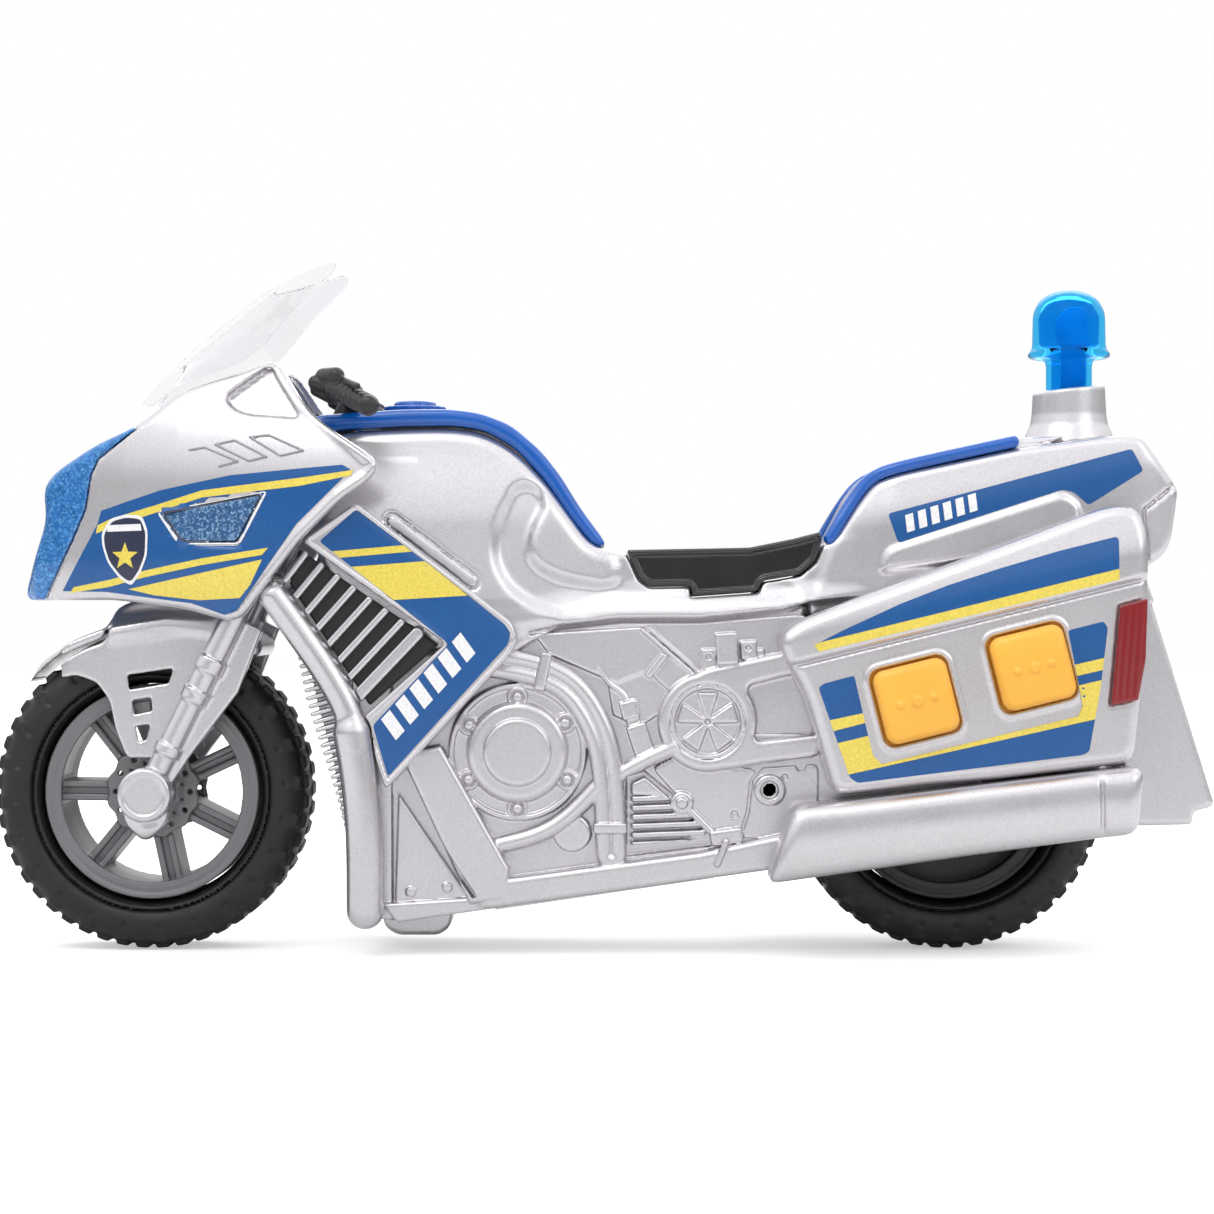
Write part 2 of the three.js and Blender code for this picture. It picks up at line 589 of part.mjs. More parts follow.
function grille() {
  const plateSide = [[-70.6, 83.6], [-68.4, 91.4], [-37, 69.9], [-52.6, 56.2]];
  const plate = across(outline(plateSide, 0.6), -24, -PLATE_IN);
  const bars = [0, 1, 2, 3, 4, 5, 6, 7].map((i) => {
    const t = (i + 0.5) / 8;
    const [x0, z0] = [-69.2 + 30.6 * t, 89.6 - 19.4 * t];
    const [x1, z1] = [-69.4 + 15.4 * t, 84.2 - 25.6 * t];
    const [nx, nz] = [0.55, 0.45]; // half the thickness of a bar
    const barSide = [[x0 - nx, z0 - nz], [x1 - nx, z1 - nz], [x1 + nx, z1 + nz], [x0 + nx, z0 + nz]];
    return across(outline(barSide), -25.4, -23.6);
  });
  return cut(join(plate, ...bars), crashTube(0.4));
}
addPair('grille', grille(), black);

// A curved block of ribs between the crash tubes, ahead of the engine.
function radiator() {
  const coreSide = [[-67.4, 67], [-65, 56], [-61.6, 44], [-59.4, 30], [-57.4, 30], [-57.4, 72], [-66, 74]];
  const core = across(outline(coreSide), -16, 16);
  const ribs = [0, 1, 2, 3, 4, 5, 6].map((i) => {
    const [x, z] = [-69 + 0.9 * i + 0.1 * i * i, 67 - 5.6 * i];
    return across(outline([[x, z], [x + 5, z + 1.6], [x + 5, z + 3.6], [x - 0.5, z + 1.8]]), -19, 19);
  });
  const behind = across(outline([[-57.3, 20], [-57.3, 90], [-30, 90], [-30, 20]]), -25, 25);
  return cut(join(core, ...ribs), behind);
}
add('radiator', radiator(), silver());

const footSide = [[-52, 10], [-50.4, 4.4], [-46.6, 2.9], [-38.4, 2.9], [-35, 4.4], [-33.4, 12]];
const foot = cut(
  across(outline(footSide), -8, 8, { bevel: 1 }),
  across(outline(grown(engineSide, GAP), 2), -30, 30),
);
add('underside_foot', foot, silver());

function mudguard() {
  const outer = across(outline([
    [119, 83], [119.4, 80.6], [125, 80.6], [139.6, 33.4], [139, 32.5], [135.2, 31.6], [134.6, 28.6], [123, 28.2],
    [119.7, 28.9], [118.4, 38],
  ], 0.6), -12, 12);
  const inner = across(outline([[116, 42], [121.4, 31.4], [137, 34.8], [123.6, 79], [116, 79]], 0.5), -10.4, 10.4);
  const top = across(outline([[118, 79.4], [126, 79.4], [123.2, 87.3], [117, 80.8]]), -12, 12);
  const tail = across(outline(grown(tailSide, GAP), 2), -30, 30);
  return cut(join(outer, top), inner, tail, rod(AXLE_REAR_X, WHEEL_R, WHEEL_R + 2.6, -15, 15, 24));
}
add('rear_mudguard', mudguard(), silver());

// ---------------------------------------------------------------- wheels

const TREAD_SIDES = 24;
const FLAT = Math.cos(Math.PI / TREAD_SIDES);

// A tyre with a flat tread, standing on one of the tread's flats.
function tyre() {
  const r = WHEEL_R / FLAT;
  const bead = (RIM_R + GAP) / FLAT;
  const section = [
    [bead, -9], [r - 7.4, -TYRE_HALF], [r - 3.4, -TYRE_HALF + 0.8], [r, -CROWN_HALF], [r, CROWN_HALF],
    [r - 3.4, TYRE_HALF - 0.8], [r - 7.4, TYRE_HALF], [bead, 9], [bead, -9],
  ];
  return turned(section, TREAD_SIDES).rotateY(Math.PI / TREAD_SIDES);
}

// Seven spokes, or a closed web, between the hub, with its brake discs, and the ring.
function rim(closed) {
  const ring = turned([[20.4, -10.4], [RIM_R, -10.4], [RIM_R, 10.4], [20.4, 10.4], [20.4, -10.4]], TREAD_SIDES);
  const hub = turned([
    [0, -12.8], [4.6, -12.8], [4.6, -9], [10.2, -9], [10.2, -7.4], [6, -7.4], [6, 7.4], [10.2, 7.4], [10.2, 9],
    [4.6, 9], [4.6, 12.8], [0, 12.8],
  ], 14);
  const web = rod(0, 0, 21, -5, 5, TREAD_SIDES);
  const spokes = [0, 1, 2, 3, 4, 5, 6].map((i) => {
    const angle = (i / 7) * Math.PI * 2 + 0.44;
    return block(4, 21.4, -8, 8, -2.2, 2.2).rotateY(-angle);
  });
  return cut(join(ring, hub, ...(closed ? [web] : spokes)), rod(0, 0, AXLE_R + GAP, -20, 20, 12));
}

function wheel(end, x) {
  const place = new THREE.Group();
  place.position.set(x, 0, WHEEL_R);
  place.rotation.y = end === 'rear' ? Math.PI / TREAD_SIDES : 0;
  const tyrePlace = new THREE.Group();
  tyrePlace.position.copy(place.position);
  add(`${end}_rim`, rim(end === 'rear'), darkGrey(), place);
  add(`${end}_tyre`, tyre(), rubber(), tyrePlace);
  bike.add(place, tyrePlace);
}
wheel('front', AXLE_FRONT_X);
wheel('rear', AXLE_REAR_X);
add('rear_axle', rod(AXLE_REAR_X, WHEEL_R, AXLE_R, -18, 18, 16), steel());

// ---------------------------------------------------------------- front fork and handlebar

const LEG_MID = 18.9;
const along = (distance, offset = 0) => [
  AXLE_FRONT_X + distance * Math.sin(RAKE) + offset * Math.cos(RAKE),
  WHEEL_R + distance * Math.cos(RAKE) - offset * Math.sin(RAKE),
];

function legBar(radius, low, high) {
  return onSteering(radius, low, high, 10).translate(0, -LEG_MID, 0);
}

function forkLeg() {
  const flangeSide = [along(4, 2), along(44, 2), along(44, 7), along(30, 8.4), along(12, 5)];
  const flange = across(outline(flangeSide, 1), -19.4, -16.8);
  const lugSide = [
    [-107.5, 36], [-107, 30], [-105, 27.6], [-100.5, 27.6], [-98.4, 31], [-98.4, 38], [-103, 41.5],
  ];
  const lug = across(outline(lugSide, 1), -20.6, -15.6);
  const cap = rod(AXLE_FRONT_X, WHEEL_R, 6, -22.8, -15.6, 14);
  const leg = join(
    legBar(2.6, 0, 51), legBar(3.2, 10, 12.4), legBar(3.3, 23.6, 26.4), legBar(3.4, 31, 34.4), flange, lug, cap,
  );
  return cut(leg, rod(AXLE_FRONT_X, WHEEL_R, AXLE_R + GAP, -20, 0, 16));
}
addPair('fork_leg', forkLeg(), silver);
add('front_axle', rod(AXLE_FRONT_X, WHEEL_R, AXLE_R, -19.6, 19.6, 16), steel());

// The fender arches over the tyre between the legs and rises in a neck to the yoke.
function fender() {
  const crown = across(outline([
    [-132.8, 60], [-128.6, 66.2], [-120.6, 70.8], [-113.8, 73.4], [-100, 76], [-86, 75.4], [-77.4, 70.6],
    [-78.6, 66.4], [-90, 71], [-100, 72.6], [-112, 71], [-124, 64], [-131.4, 59],
  ], 0.5), -14.4, 14.4);
  const webSide = [
    [-132.8, 60], [-128.6, 66.2], [-120.6, 70.8], [-113.8, 73.4], [-100, 76], [-88, 75.6], [-84, 72], [-86, 60],
    [-92, 50], [-100, 44], [-108.4, 44], [-111, 50.4], [-112.4, 57.2], [-115.4, 61.3], [-119.9, 62.9],
    [-125.6, 61.9],
  ];
  const web = join(across(outline(webSide, 1), -15.3, -14.1), across(outline(webSide, 1), 14.1, 15.3));
  const neckSide = [[-113.6, 72], [-112.4, 78], [-106, 80.6], [-90, 80.6], [-86, 74], [-100, 74.6]];
  const neck = across(outline(neckSide, 1), -9, 9);
  const well = rod(AXLE_FRONT_X, WHEEL_R, WHEEL_R + 1.8, -13.9, 13.9, 24);
  return cut(join(crown, web, neck), well, onSteering(7, 46.2, 70));
}
add('front_fender', fender(), silver());

function stem() {
  const yokeSide = [along(51.4, -4.4), along(51.4, 4.4), along(57, 4.4), along(57, -4.4)];
  return join(across(outline(yokeSide), -22.4, 22.4), onSteering(4, 56, STEM_TOP, 12));
}
add('steering_stem', stem(), silver());

// A round bar from one [x, y, z] point to another.
function strut(from, to, radius, segments = 10) {
  const [a, b] = [new THREE.Vector3(...from), new THREE.Vector3(...to)];
  const geometry = new THREE.CylinderGeometry(radius, radius, a.distanceTo(b), segments);
  const axis = b.clone().sub(a).normalize();
  const turn = new THREE.Quaternion().setFromUnitVectors(new THREE.Vector3(0, 1, 0), axis);
  geometry.applyQuaternion(turn);
  const middle = a.add(b).multiplyScalar(0.5);
  return geometry.translate(middle.x, middle.y, middle.z);
}

// The bar sweeps back and down to the grips, with a lever over each grip and its mount ahead.
function handlebar() {
  const [x, z] = along(101.4);
  const cup = cut(onSteering(6, 87, STEM_TOP + 2, 14), onSteering(4.3, 80, STEM_TOP + GAP, 14));
  const post = onSteering(2.6, STEM_TOP + 1, 102.4, 10);
  const bar = rod(x, z, 2.2, -20, 20, 10);
  const half = [
    strut([x, -19, z], [x - 2, -24.4, z + 0.7], 2.4),
    strut([x - 2.4, -23.6, z + 0.9], [x + 6.6, -37.4, z - 3.9], 2.6, 12),
    strut([x - 9.4, -21.8, z + 2.8], [x - 0.6, -24, z + 0.6], 1.9),
    strut([x - 4.8, -21.6, z + 3.6], [x - 1.2, -26, z + 3.6], 2.2),
    strut([x - 1, -25, z + 3.2], [x + 6.4, -37, z - 0.8], 0.9, 6),
    strut([x - 7, -21, z + 0.6], [x - 2.6, -22, z - 1.8], 1.5),
  ];
  return join(cup, post, bar, ...half, ...half.map(mirrored));
}
add('handlebar', handlebar(), black());

export default bike;
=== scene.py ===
"""A silver toy police-style motorcycle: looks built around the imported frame.

Shapes are written in millimetres as signed distances (negative inside) on a grid of
points, and the surface where the distance is zero becomes the mesh.
X runs from the front wheel to the back, the left side faces -Y and Z is up.
"""

import json
import math

import bpy
import numpy as np
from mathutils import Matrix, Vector
from mathutils.bvhtree import BVHTree
from mathutils.geometry import delaunay_2d_cdt


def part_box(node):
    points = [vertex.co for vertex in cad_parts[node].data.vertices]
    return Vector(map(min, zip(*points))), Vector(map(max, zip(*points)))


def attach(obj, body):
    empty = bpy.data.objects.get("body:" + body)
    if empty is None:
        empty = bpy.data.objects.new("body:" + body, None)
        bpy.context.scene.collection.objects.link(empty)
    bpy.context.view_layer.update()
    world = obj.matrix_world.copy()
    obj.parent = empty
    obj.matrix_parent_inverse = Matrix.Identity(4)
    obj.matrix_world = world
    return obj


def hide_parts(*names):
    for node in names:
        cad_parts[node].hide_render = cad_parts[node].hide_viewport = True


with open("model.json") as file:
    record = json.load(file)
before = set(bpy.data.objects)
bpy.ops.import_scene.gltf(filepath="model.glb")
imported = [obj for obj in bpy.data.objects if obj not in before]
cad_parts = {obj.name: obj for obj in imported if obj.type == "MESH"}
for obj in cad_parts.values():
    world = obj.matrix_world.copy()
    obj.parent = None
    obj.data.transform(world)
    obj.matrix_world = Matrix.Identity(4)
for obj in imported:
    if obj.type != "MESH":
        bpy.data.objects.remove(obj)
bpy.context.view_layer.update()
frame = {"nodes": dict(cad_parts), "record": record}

MM = 0.001


def box_mm(node):
    low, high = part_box(node)
    return np.array(low) / MM, np.array(high) / MM


def middle_mm(node):
    low, high = box_mm(node)
    return (low + high) / 2


# ------------------------------------------------------------ sizes from the frame

FRONT = middle_mm("front_tyre")
REAR = middle_mm("rear_tyre")
WHEEL_R = FRONT[2]
TYRE_HALF = box_mm("front_tyre")[1][1]
RIM_R = box_mm("front_rim")[1][0] - FRONT[0]
BAG_OUT = -box_mm("pannier_left")[0][1]
BAG_IN = -box_mm("pannier_left")[1][1]
PANEL_OUT = -box_mm("side_panel_left")[0][1]
PANEL_IN = -box_mm("side_panel_left")[1][1]
TAIL_HALF = box_mm("tail_trim_left")[0][1] * -1 + 0.4
TANK_HALF = 22.0
ENGINE_OUT = -box_mm("main_shell_left")[0][1]
CORE_HALF = 17.8
SEAM = 0.15
BEACON = middle_mm("beacon_dome")
BUTTONS = {"front": middle_mm("button_front"), "rear": middle_mm("button_rear")}
BUTTON_OUT = -box_mm("button_front")[0][1]
LAMP_HALF = box_mm("rear_lamp")[1][1]
BUTTON = 16.6
BUTTON_TILT = math.radians(14)
RAKE = math.radians(26.5)
SLOPE = math.radians(8.3)

# ------------------------------------------------------------ distances in two dimensions


def soft(points, times=2):
    """A closed outline with its corners cut to smooth curves."""
    p = np.array(points, float)
    for _ in range(times):
        after = np.roll(p, -1, axis=0)
        p = np.stack([0.75 * p + 0.25 * after, 0.25 * p + 0.75 * after], 1).reshape(-1, 2)
    return p


def curved(points, times=3):
    """An open line smoothed the same way, with its ends kept."""
    p = np.array(points, float)
    for _ in range(times):
        q = np.stack([0.75 * p[:-1] + 0.25 * p[1:], 0.25 * p[:-1] + 0.75 * p[1:]], 1)
        p = np.vstack([p[:1], q.reshape(-1, 2), p[-1:]])
    return p


def rounded(points, r=0.8):
    """An outline with small round corners."""
    out = []
    n = len(points)
    for i, here in enumerate(points):
        here = np.array(here, float)
        into = np.array(points[i - 1], float) - here
        away = np.array(points[(i + 1) % n], float) - here
        li, la = np.linalg.norm(into), np.linalg.norm(away)
        a = here + into / li * min(r, li * 0.45)
        b = here + away / la * min(r, la * 0.45)
        out += [tuple((1 - t) ** 2 * a + 2 * t * (1 - t) * here + t * t * b) for t in (0, 0.33, 0.67, 1)]
    return out


def polygon(points, u, v):
    """Signed distance to a closed outline."""
    p = np.array(points, float)
    best = None
    inside = False
    for (ax, ay), (bx, by) in zip(p, np.roll(p, -1, axis=0)):
        ex, ey = bx - ax, by - ay
        length = max(ex * ex + ey * ey, 1e-9)
        px, py = u - ax, v - ay
        t = np.clip((px * ex + py * ey) / length, 0, 1)
        d = (px - t * ex) ** 2 + (py - t * ey) ** 2
        best = d if best is None else np.minimum(best, d)
        if by != ay:
            inside = inside ^ (((ay > v) != (by > v)) & (u < ex * (v - ay) / ey + ax))
    best = np.sqrt(best)
    return np.where(inside, -best, best)


def polyline(points, u, v):
    """Distance to an open line."""
    best = None
    for (ax, ay), (bx, by) in zip(points[:-1], points[1:]):
        ex, ey = bx - ax, by - ay
        px, py = u - ax, v - ay
        t = np.clip((px * ex + py * ey) / max(ex * ex + ey * ey, 1e-9), 0, 1)
        d = (px - t * ex) ** 2 + (py - t * ey) ** 2
        best = d if best is None else np.minimum(best, d)
    return np.sqrt(best)


def step_up(t):
    """0 below 0, 1 above 1, smooth between."""
    t = np.clip(t, 0, 1)
    return t * t * (3 - 2 * t)


def meet(a, b, r=0.0):
    """Where both shapes are, with a rounded edge."""
    if r <= 0:
        return np.maximum(a, b)
    over = np.hypot(np.maximum(a + r, 0), np.maximum(b + r, 0))
    return np.minimum(np.maximum(a + r, b + r), 0) + over - r


def blend(a, b, r=0.0):
    """Either shape, with a filleted join."""
    if r <= 0:
        return np.minimum(a, b)
    h = np.maximum(r - np.abs(a - b), 0) / r
    return np.minimum(a, b) - h * h * r / 4


def carve(a, b, r=0.0):
    """The first shape without the second."""
    return -blend(-a, b, r)


# ------------------------------------------------------------ the grid and its surface

CORNERS = np.array([[i, j, k] for i in (0, 1) for j in (0, 1) for k in (0, 1)])
EDGES = [
    (a, b) for a in range(8) for b in range(a + 1, 8) if np.abs(CORNERS[a] - CORNERS[b]).sum() == 1
]


class Space:
    """A box of sample points."""

    def __init__(self, low, high, step):
        self.step = step * 1.0
        self.low = np.array(low, float)
        x, y, z = (np.arange(a, b + self.step, self.step) for a, b in zip(low, high))
        self.x = x[:, None, None].astype(np.float32)
        self.y = y[None, :, None].astype(np.float32)
        self.z = z[None, None, :].astype(np.float32)
        self.out = np.abs(self.y)
        self.shape = (len(x), len(y), len(z))

    def side(self, points):
        return polygon(points, self.x, self.z).astype(np.float32)

    def plan(self, points):
        return polygon(points, self.x, self.y).astype(np.float32)

    def front(self, points):
        return polygon(points, self.y, self.z).astype(np.float32)

    def line(self, points):
        return polyline(points, self.x, self.z).astype(np.float32)

    def disc(self, x, z, r):
        return np.hypot(self.x - x, self.z - z) - r

    def band(self, low, high):
        """Between two distances from the middle of the bike."""
        return np.maximum(low - self.out, self.out - high)

    def raised(self, flat, top, r=0.5, root=CORE_HALF - 2):
        """A flat shape standing on the side of the bike up to a distance from the middle."""
        return meet(flat, np.maximum(self.out - top, root - self.out), r)

    def turned(self, x, z, angle):
        """Coordinates along and across a line leaning by the angle in the side view."""
        c, s = math.cos(angle), math.sin(angle)
        u, w = self.x - x, self.z - z
        return u * c + w * s, w * c - u * s

    def bar(self, x, z, length, width, angle, r=0.3):
        """A rounded rectangle in the side view."""
        u, w = self.turned(x, z, angle)
        a = np.abs(u) - length / 2 + r
        b = np.abs(w) - width / 2 + r
        return np.hypot(np.maximum(a, 0), np.maximum(b, 0)) + np.minimum(np.maximum(a, b), 0) - r

    def capsule(self, start, end, r):
        """A round bar between two points."""
        a, b = np.array(start, float), np.array(end, float)
        e = b - a
        px, py, pz = self.x - a[0], self.y - a[1], self.z - a[2]
        t = np.clip((px * e[0] + py * e[1] + pz * e[2]) / (e @ e), 0, 1)
        return np.sqrt((px - t * e[0]) ** 2 + (py - t * e[1]) ** 2 + (pz - t * e[2]) ** 2) - r


def sampled(values, p):
    i = np.clip(np.floor(p).astype(int), 0, np.array(values.shape) - 2)
    t = p - i
    total = 0
    for c in CORNERS:
        weight = np.prod(np.where(c, t, 1 - t), axis=1)
        total = total + weight * values[tuple((i + c).T)]
    return total


def slope_at(values, p, reach=0.5):
    out = []
    for axis in range(3):
        d = np.zeros(3)
        d[axis] = reach
        out.append((sampled(values, p + d) - sampled(values, p - d)) / (2 * reach))
    return np.stack(out, 1)


def surface(space, field):
    """Points, quads and normals where the field crosses zero."""
    f = np.array(np.broadcast_to(field, space.shape), np.float32)
    rim = np.float32(0.02)
    for axis in range(3):
        for end in (0, -1):
            at = [slice(None)] * 3
            at[axis] = end
            f[tuple(at)] = np.maximum(f[tuple(at)], rim)
    inside = f < 0
    count = np.zeros(np.array(f.shape) - 1, np.int8)
    for i, j, k in CORNERS:
        count += inside[
            i : f.shape[0] - 1 + i, j : f.shape[1] - 1 + j, k : f.shape[2] - 1 + k
        ]
    cells = np.argwhere((count > 0) & (count < 8))
    values = np.stack([f[tuple((cells + c).T)] for c in CORNERS], 1)
    total = np.zeros((len(cells), 3))
    crossings = np.zeros(len(cells))
    for a, b in EDGES:
        va, vb = values[:, a], values[:, b]
        cross = (va < 0) != (vb < 0)
        t = np.where(cross, va / np.where(cross, va - vb, 1), 0)
        place = CORNERS[a] + t[:, None] * (CORNERS[b] - CORNERS[a])
        total += np.where(cross[:, None], place, 0)
        crossings += cross
    p = cells + total / crossings[:, None]
    start = p.copy()
    for _ in range(2):
        g = slope_at(f, p)
        size = np.maximum((g * g).sum(1), 1e-8)
        move = -(sampled(f, p) / size)[:, None] * g
        p = p + np.clip(move, -0.35, 0.35)
    p = start + np.clip(p - start, -0.5, 0.5)
    g = slope_at(f, p, 0.75)
    normals = g / np.maximum(np.linalg.norm(g, axis=1), 1e-9)[:, None]
    number = np.full(count.shape, -1, np.int64)
    number[tuple(cells.T)] = np.arange(len(cells))
    quads = []
    for axis in range(3):
        b, c = (axis + 1) % 3, (axis + 2) % 3
        first = [slice(None)] * 3
        second = [slice(None)] * 3
        first[axis] = slice(0, -1)
        second[axis] = slice(1, None)
        at = np.argwhere(inside[tuple(first)] != inside[tuple(second)])
        out = inside[tuple(at.T)]
        ring = []
        for db, dc in ((0, 0), (-1, 0), (-1, -1), (0, -1)):
            q = at.copy()
            q[:, b] += db
            q[:, c] += dc
            ring.append(number[tuple(q.T)])
        ring = np.stack(ring, 1)
        ring[~out] = ring[~out][:, ::-1]
        quads.append(ring)
    return space.low + p * space.step, np.vstack(quads), normals


def mirrored(mesh):
    points, faces, normals = mesh
    flip = np.array([1, -1, 1])
    return points * flip, faces[:, ::-1], normals * flip


def build(name, mesh, material, body="body", nodes=()):
    """A piece of the bike from points in millimetres."""
    points, faces, normals = mesh
    data = bpy.data.meshes.new(name)
    data.vertices.add(len(points))
    data.vertices.foreach_set("co", (points * MM).astype(np.float32).ravel())
    size = faces.shape[1]
    data.loops.add(faces.size)
    data.loops.foreach_set("vertex_index", faces.astype(np.int32).ravel())
    data.polygons.add(len(faces))
    data.polygons.foreach_set("loop_start", np.arange(0, faces.size, size, dtype=np.int32))
    data.update(calc_edges=True)
    data.validate()
    data.shade_smooth()
    if normals is not None and len(data.vertices) == len(normals):
        data.normals_split_custom_set_from_vertices(normals.tolist())
    data.materials.append(material)
    thing = bpy.data.objects.new(name, data)
    bpy.context.scene.collection.objects.link(thing)
    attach(thing, body)
    if nodes:
        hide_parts(*nodes)
    return thing


def pair(name, mesh, material, body="body", nodes=True):
    """A left piece and its mirror image."""
    made = []
    for side, shape in (("left", mesh), ("right", mirrored(mesh))):
        full = f"{name}_{side}"
        stands = [full] if nodes else []
        made.append(build(full + "_look", shape, material, body, stands))
    return made

# ------------------------------------------------------------ materials


class Nodes:
    """A material with a Principled shader and short ways to add nodes to it."""

    def __init__(self, name):
        self.material = bpy.data.materials.new(name)
        self.material.use_nodes = True
        self.tree = self.material.node_tree
        self.shader = self.tree.nodes["Principled BSDF"]
        self.place = self.tree.nodes.new("ShaderNodeTexCoord").outputs["Object"]

    def set(self, **values):
        for key, value in values.items():
            self.shader.inputs[key.replace("_", " ").title().replace("Ior", "IOR")].default_value = value
        return self

    def noise(self, scale, detail=2.0, roughness=0.5):
        n = self.tree.nodes.new("ShaderNodeTexNoise")
        n.inputs["Scale"].default_value = scale
        n.inputs["Detail"].default_value = detail
        n.inputs["Roughness"].default_value = roughness
        self.tree.links.new(self.place, n.inputs["Vector"])
        return n.outputs["Fac"]

    def cells(self, scale, output="Distance"):
        n = self.tree.nodes.new("ShaderNodeTexVoronoi")
        n.inputs["Scale"].default_value = scale
        self.tree.links.new(self.place, n.inputs["Vector"])
        return n.outputs[output]

    def ramp(self, value, stops):
        n = self.tree.nodes.new("ShaderNodeValToRGB")
        marks = n.color_ramp.elements
        while len(marks) < len(stops):
            marks.new(0.5)
        for mark, (at, colour) in zip(marks, stops):
            mark.position = at
            mark.color = (*colour, 1)
        self.tree.links.new(value, n.inputs["Fac"])
        return n.outputs["Color"]

    def spread(self, value, low, high, start=0.0, end=1.0):
        n = self.tree.nodes.new("ShaderNodeMapRange")
        n.inputs["From Min"].default_value = start
        n.inputs["From Max"].default_value = end
        n.inputs["To Min"].default_value = low
        n.inputs["To Max"].default_value = high
        self.tree.links.new(value, n.inputs["Value"])
        return n.outputs["Result"]

    def colour(self, value):
        self.tree.links.new(value, self.shader.inputs["Base Color"])
        return self

    def rough(self, value):
        self.tree.links.new(value, self.shader.inputs["Roughness"])
        return self

    def bump(self, value, strength, distance):
        n = self.tree.nodes.new("ShaderNodeBump")
        n.inputs["Strength"].default_value = strength
        n.inputs["Distance"].default_value = distance
        self.tree.links.new(value, n.inputs["Height"])
        self.tree.links.new(n.outputs["Normal"], self.shader.inputs["Normal"])
        return self


def shade(colour, share):
    return tuple(c * share for c in colour)


def silver(name="silver_plastic", colour=(0.66, 0.645, 0.665), rough=0.27, metal=0.84):
    """Grey plastic with fine metal flake moulded in, and faint flow marks."""
    m = Nodes(name)
    m.set(metallic=metal)
    m.shader.inputs["Coat Weight"].default_value = 0.15
    m.shader.inputs["Coat Roughness"].default_value = 0.2
    flake = m.cells(3400, "Color")
    m.colour(m.ramp(flake, [(0.1, shade(colour, 0.93)), (0.5, colour), (0.95, shade(colour, 1.07))]))
    m.rough(m.spread(m.noise(45, 3), rough - 0.03, rough + 0.05, 0.3, 0.7))
    return m.bump(m.noise(1900, 1), 0.12, 0.00004).material


def moulded(name, colour, rough, grain=900, depth=0.00003, metal=0.0, coat=0.0):
    """Plain moulded plastic with a fine surface grain and slight colour drift."""
    m = Nodes(name)
    m.set(metallic=metal)
    m.shader.inputs["Coat Weight"].default_value = coat
    m.colour(m.ramp(m.noise(60, 3), [(0.3, shade(colour, 0.93)), (0.7, shade(colour, 1.06))]))
    m.rough(m.spread(m.noise(140, 2), rough - 0.04, rough + 0.05, 0.3, 0.7))
    return m.bump(m.noise(grain, 2), 0.25, depth).material


def rubber():
    m = Nodes("tyre_plastic")
    colour = (0.008, 0.008, 0.0085)
    m.colour(m.ramp(m.noise(90, 4), [(0.3, shade(colour, 0.8)), (0.75, shade(colour, 1.5))]))
    m.rough(m.spread(m.noise(300, 3), 0.42, 0.6, 0.3, 0.7))
    return m.bump(m.noise(1500, 2), 0.3, 0.00005).material


def glitter(name, deep, light, rough=0.22):
    """Blue tinted plastic full of small sparkling flakes."""
    m = Nodes(name)
    m.set(metallic=0.35)
    m.shader.inputs["Coat Weight"].default_value = 0.8
    m.shader.inputs["Coat Roughness"].default_value = 0.06
    flake = m.cells(2200, "Color")
    m.colour(m.ramp(flake, [(0.15, deep), (0.55, shade(deep, 1.6)), (0.9, light)]))
    m.rough(m.spread(m.noise(700, 1), rough, rough + 0.25, 0.35, 0.65))
    return m.bump(m.noise(650, 3), 0.5, 0.00012).material


def clear(name, colour, rough, ior, weight=1.0):
    """Clear tinted plastic."""
    m = Nodes(name)
    m.set(roughness=rough)
    m.shader.inputs["IOR"].default_value = ior
    m.shader.inputs["Transmission Weight"].default_value = weight
    m.colour(m.ramp(m.noise(50, 2), [(0.3, shade(colour, 0.96)), (0.7, colour)]))
    return m.bump(m.noise(400, 2), 0.08, 0.00003).material


def printed(name, colour, rough=0.3):
    """Ink on a glossy sticker, with the dots of its print just showing."""
    m = Nodes(name)
    m.shader.inputs["Coat Weight"].default_value = 0.4
    m.shader.inputs["Coat Roughness"].default_value = 0.15
    m.colour(m.ramp(m.noise(1600, 1), [(0.3, shade(colour, 0.9)), (0.7, shade(colour, 1.08))]))
    m.rough(m.spread(m.noise(70, 2), rough - 0.05, rough + 0.07, 0.3, 0.7))
    return m.bump(m.noise(900, 1), 0.1, 0.00002).material


SILVER = silver()
BLUE = moulded("blue_plastic", (0.0, 0.1, 0.46), 0.2, coat=0.5)
BLACK = moulded("black_gloss_plastic", (0.012, 0.012, 0.013), 0.2, coat=0.6)
BLACK_SATIN = moulded("black_satin_plastic", (0.02, 0.02, 0.022), 0.38)
GRILLE_BLACK = moulded("grille_black", (0.014, 0.014, 0.016), 0.5)
RIM_GREY = moulded("rim_grey", (0.2, 0.2, 0.21), 0.36, metal=0.4)
# The rear rim is black as painted shade: it stands in for the shadow deep inside the rear tyre.
RIM_PAINTED_SHADE = moulded("rim_black_painted_shade", (0.018, 0.018, 0.02), 0.4)
TYRE = rubber()
ORANGE = moulded("button_orange", (0.95, 0.47, 0.06), 0.34, grain=1200)
RED = moulded("reflector_red", (0.23, 0.008, 0.012), 0.2, coat=0.5)
LENS_BLUE = glitter("lens_blue_glitter", (0.01, 0.12, 0.36), (0.12, 0.38, 0.72))
WINDOW = glitter("window_blue_glitter", (0.02, 0.08, 0.2), (0.25, 0.42, 0.62), 0.3)
BEACON_BLUE = clear("beacon_blue", (0.04, 0.46, 0.86), 0.06, 1.12)
BEACON_CORE = moulded("beacon_core", (0.25, 0.8, 0.98), 0.3)
SCREEN = clear("screen_clear", (0.93, 0.935, 0.945), 0.03, 1.06)
SCREEN.node_tree.nodes["Principled BSDF"].inputs["Coat Weight"].default_value = 0.8
